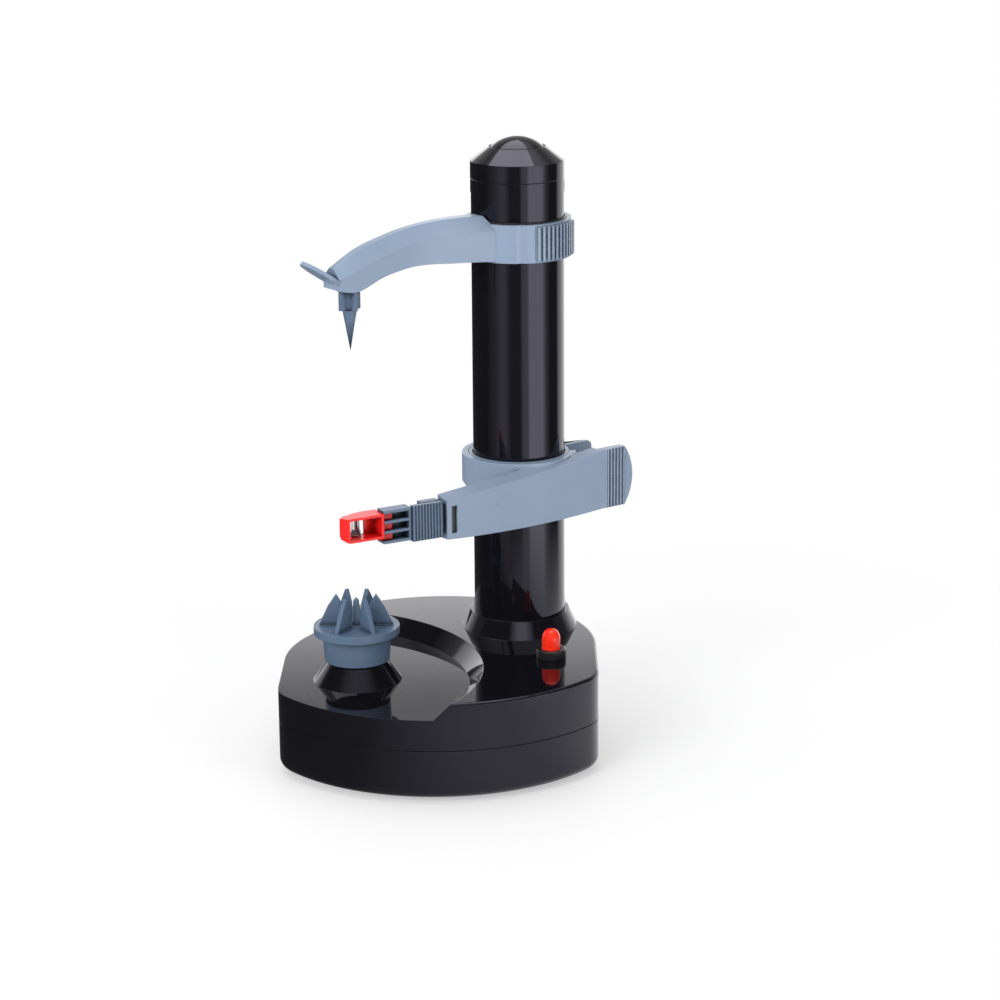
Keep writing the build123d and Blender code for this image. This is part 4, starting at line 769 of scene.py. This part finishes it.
def floorMaterial():
    material = bpy.data.materials.new("paleFloor")
    material.use_nodes = True
    tree = material.node_tree
    shader = tree.nodes["Principled BSDF"]
    shader.inputs["Base Color"].default_value = (*paleFloor["colour"], 1)
    shader.inputs["Roughness"].default_value = paleFloor["roughness"]
    camera, mirrored = seenNodes(tree)
    where = objectPlace(tree)
    distance = vectorNode(tree, "LENGTH", where)
    whiteness = [paleFloor[part] for part in ("near", "far", "nearWhite", "farWhite")]
    share = rangeNode(tree, distance, *whiteness)
    # camera rays see a share of plain white, mirrored ones the cards, and the rest the floor's colour
    level = mirroredCards(tree, where, distance)
    strength = mathNode(tree, "MULTIPLY_ADD", mathNode(tree, "SUBTRACT", 1.0, camera), level, camera)
    white = tree.nodes.new("ShaderNodeEmission")
    tree.links.new(strength, white.inputs["Strength"])
    mix = tree.nodes.new("ShaderNodeMixShader")
    tree.links.new(mathNode(tree, "MULTIPLY_ADD", camera, share, mirrored), mix.inputs["Fac"])
    tree.links.new(shader.outputs["BSDF"], mix.inputs[1])
    tree.links.new(white.outputs["Emission"], mix.inputs[2])
    tree.links.new(mix.outputs["Shader"], tree.nodes["Material Output"].inputs["Surface"])
    return material


def buildFloor():
    size = paleFloor["halfSize"]
    corners = [(-size, -size, 0), (size, -size, 0), (size, size, 0), (-size, size, 0)]
    mesh = bpy.data.meshes.new("floor")
    mesh.from_pydata(corners, [], [(0, 1, 2, 3)])
    mesh.materials.append(floorMaterial())
    floor = newObject("floor", mesh)


# what lights the pieces, and what glossy ones see above the floor: a sky that is brighter at the back, a
# low white card there, one overhead and a small one in front. Spans are of the direction's Y or Z.
whiteSky = {
    "level": 0.62,
    "mirrorFront": 0.06, "mirrorBack": 0.6, "frontToBack": (0.3, 0.8),
    "backCard": {"level": 2.0, "goneAbove": 0.335, "fullBelow": 0.3},
    "overhead": {"level": 1.7, "span": (0.66, 0.97)},
    "frontCard": {"level": 2.6, "middle": (0.06, 0.5), "half": (0.42, 0.2), "edge": 0.3, "span": (0, -0.2)},
}


def mirroredSky(tree):
    apart = tree.nodes.new("ShaderNodeSeparateXYZ")
    tree.links.new(tree.nodes.new("ShaderNodeTexCoord").outputs["Generated"], apart.inputs[0])
    across, depth, height = (apart.outputs[label] for label in ("X", "Y", "Z"))
    front, back = whiteSky["mirrorFront"], whiteSky["mirrorBack"]
    sky = rangeNode(tree, depth, *whiteSky["frontToBack"], front, back)
    card = whiteSky["backCard"]
    low = rangeNode(tree, height, card["goneAbove"], card["fullBelow"], 1, card["level"] / back)
    overhead = whiteSky["overhead"]
    top = rangeNode(tree, height, *overhead["span"], 0, overhead["level"])
    small = whiteSky["frontCard"]
    patch = rangeNode(tree, depth, *small["span"], 0, small["level"])
    for value, middle, half in zip((across, height), small["middle"], small["half"]):
        off = mathNode(tree, "ABSOLUTE", mathNode(tree, "SUBTRACT", value, middle))
        patch = mathNode(tree, "MULTIPLY", patch, rangeNode(tree, off, half, half - small["edge"], 0, 1))
    mirror = mathNode(tree, "MAXIMUM", mathNode(tree, "MULTIPLY", sky, low), top)
    return mathNode(tree, "MAXIMUM", mirror, patch)


def buildWorld():
    # the camera sees plain white, glossy pieces the cards, and the rest is lit by an even sky
    world = bpy.data.worlds.new("studioWorld")
    scene.world = world
    world.use_nodes = True
    tree = world.node_tree
    back = tree.nodes["Background"]
    back.inputs["Color"].default_value = (1, 1, 1, 1)
    camera, mirrored = seenNodes(tree)
    lit = mathNode(tree, "SUBTRACT", 1.0, mathNode(tree, "MAXIMUM", camera, mirrored))
    strength = mathNode(tree, "MULTIPLY", lit, whiteSky["level"])
    strength = mathNode(tree, "ADD", strength, mathNode(tree, "MULTIPLY", mirrored, mirroredSky(tree)))
    tree.links.new(mathNode(tree, "ADD", strength, camera), back.inputs["Strength"])


softboxes = {
    "rightStrip": {
        "place": (0.86, -0.72, 0.40), "aim": (0.03, 0.03, 0.16), "size": (0.42, 1.3), "power": 4.0,
        "mirrored": False,
    },
    "topPanel": {
        "place": (-0.15, 0.25, 1.5), "aim": (0, 0, 0.1), "size": (1.1, 1.1), "power": 8.0,
        "mirrored": True,
    },
    "leftKey": {
        "place": (-1.1, -1.5, 0.9), "aim": (0, 0, 0.15), "size": (1.0, 1.2), "power": 25.0,
        "mirrored": False,
    },
}


def buildSoftboxes():
    for name, box in softboxes.items():
        light = bpy.data.lights.new(name, "AREA")
        light.shape = "RECTANGLE"
        light.size, light.size_y = box["size"]
        light.energy = box["power"]
        lamp = newObject(name, light)
        lamp.location = box["place"]
        way = Vector(box["aim"]) - Vector(box["place"])
        lamp.rotation_euler = way.to_track_quat("-Z", "Y").to_euler()
        lamp.visible_camera = False
        lamp.visible_glossy = box["mirrored"]


# fitted to the photograph: millimetres of lens and sensor, metres of place, degrees of turn
photoCamera = {
    "lens": 101.77,
    "sensor": 36,
    "farthest": 50,
    "place": (0.025929, -1.291590, 0.483952),
    "turn": (74.33786, 0.419917, 0.139041),
}


def buildCamera():
    data = bpy.data.cameras.new("photoCamera")
    data.sensor_width = photoCamera["sensor"]
    data.lens = photoCamera["lens"]
    data.clip_end = photoCamera["farthest"]
    camera = newObject("photoCamera", data)
    camera.location = photoCamera["place"]
    camera.rotation_euler = [radians(angle) for angle in photoCamera["turn"]]
    scene.camera = camera


buildFloor()
buildWorld()
buildSoftboxes()
buildCamera()
scene.view_settings.view_transform = "Standard"
print("studio built")
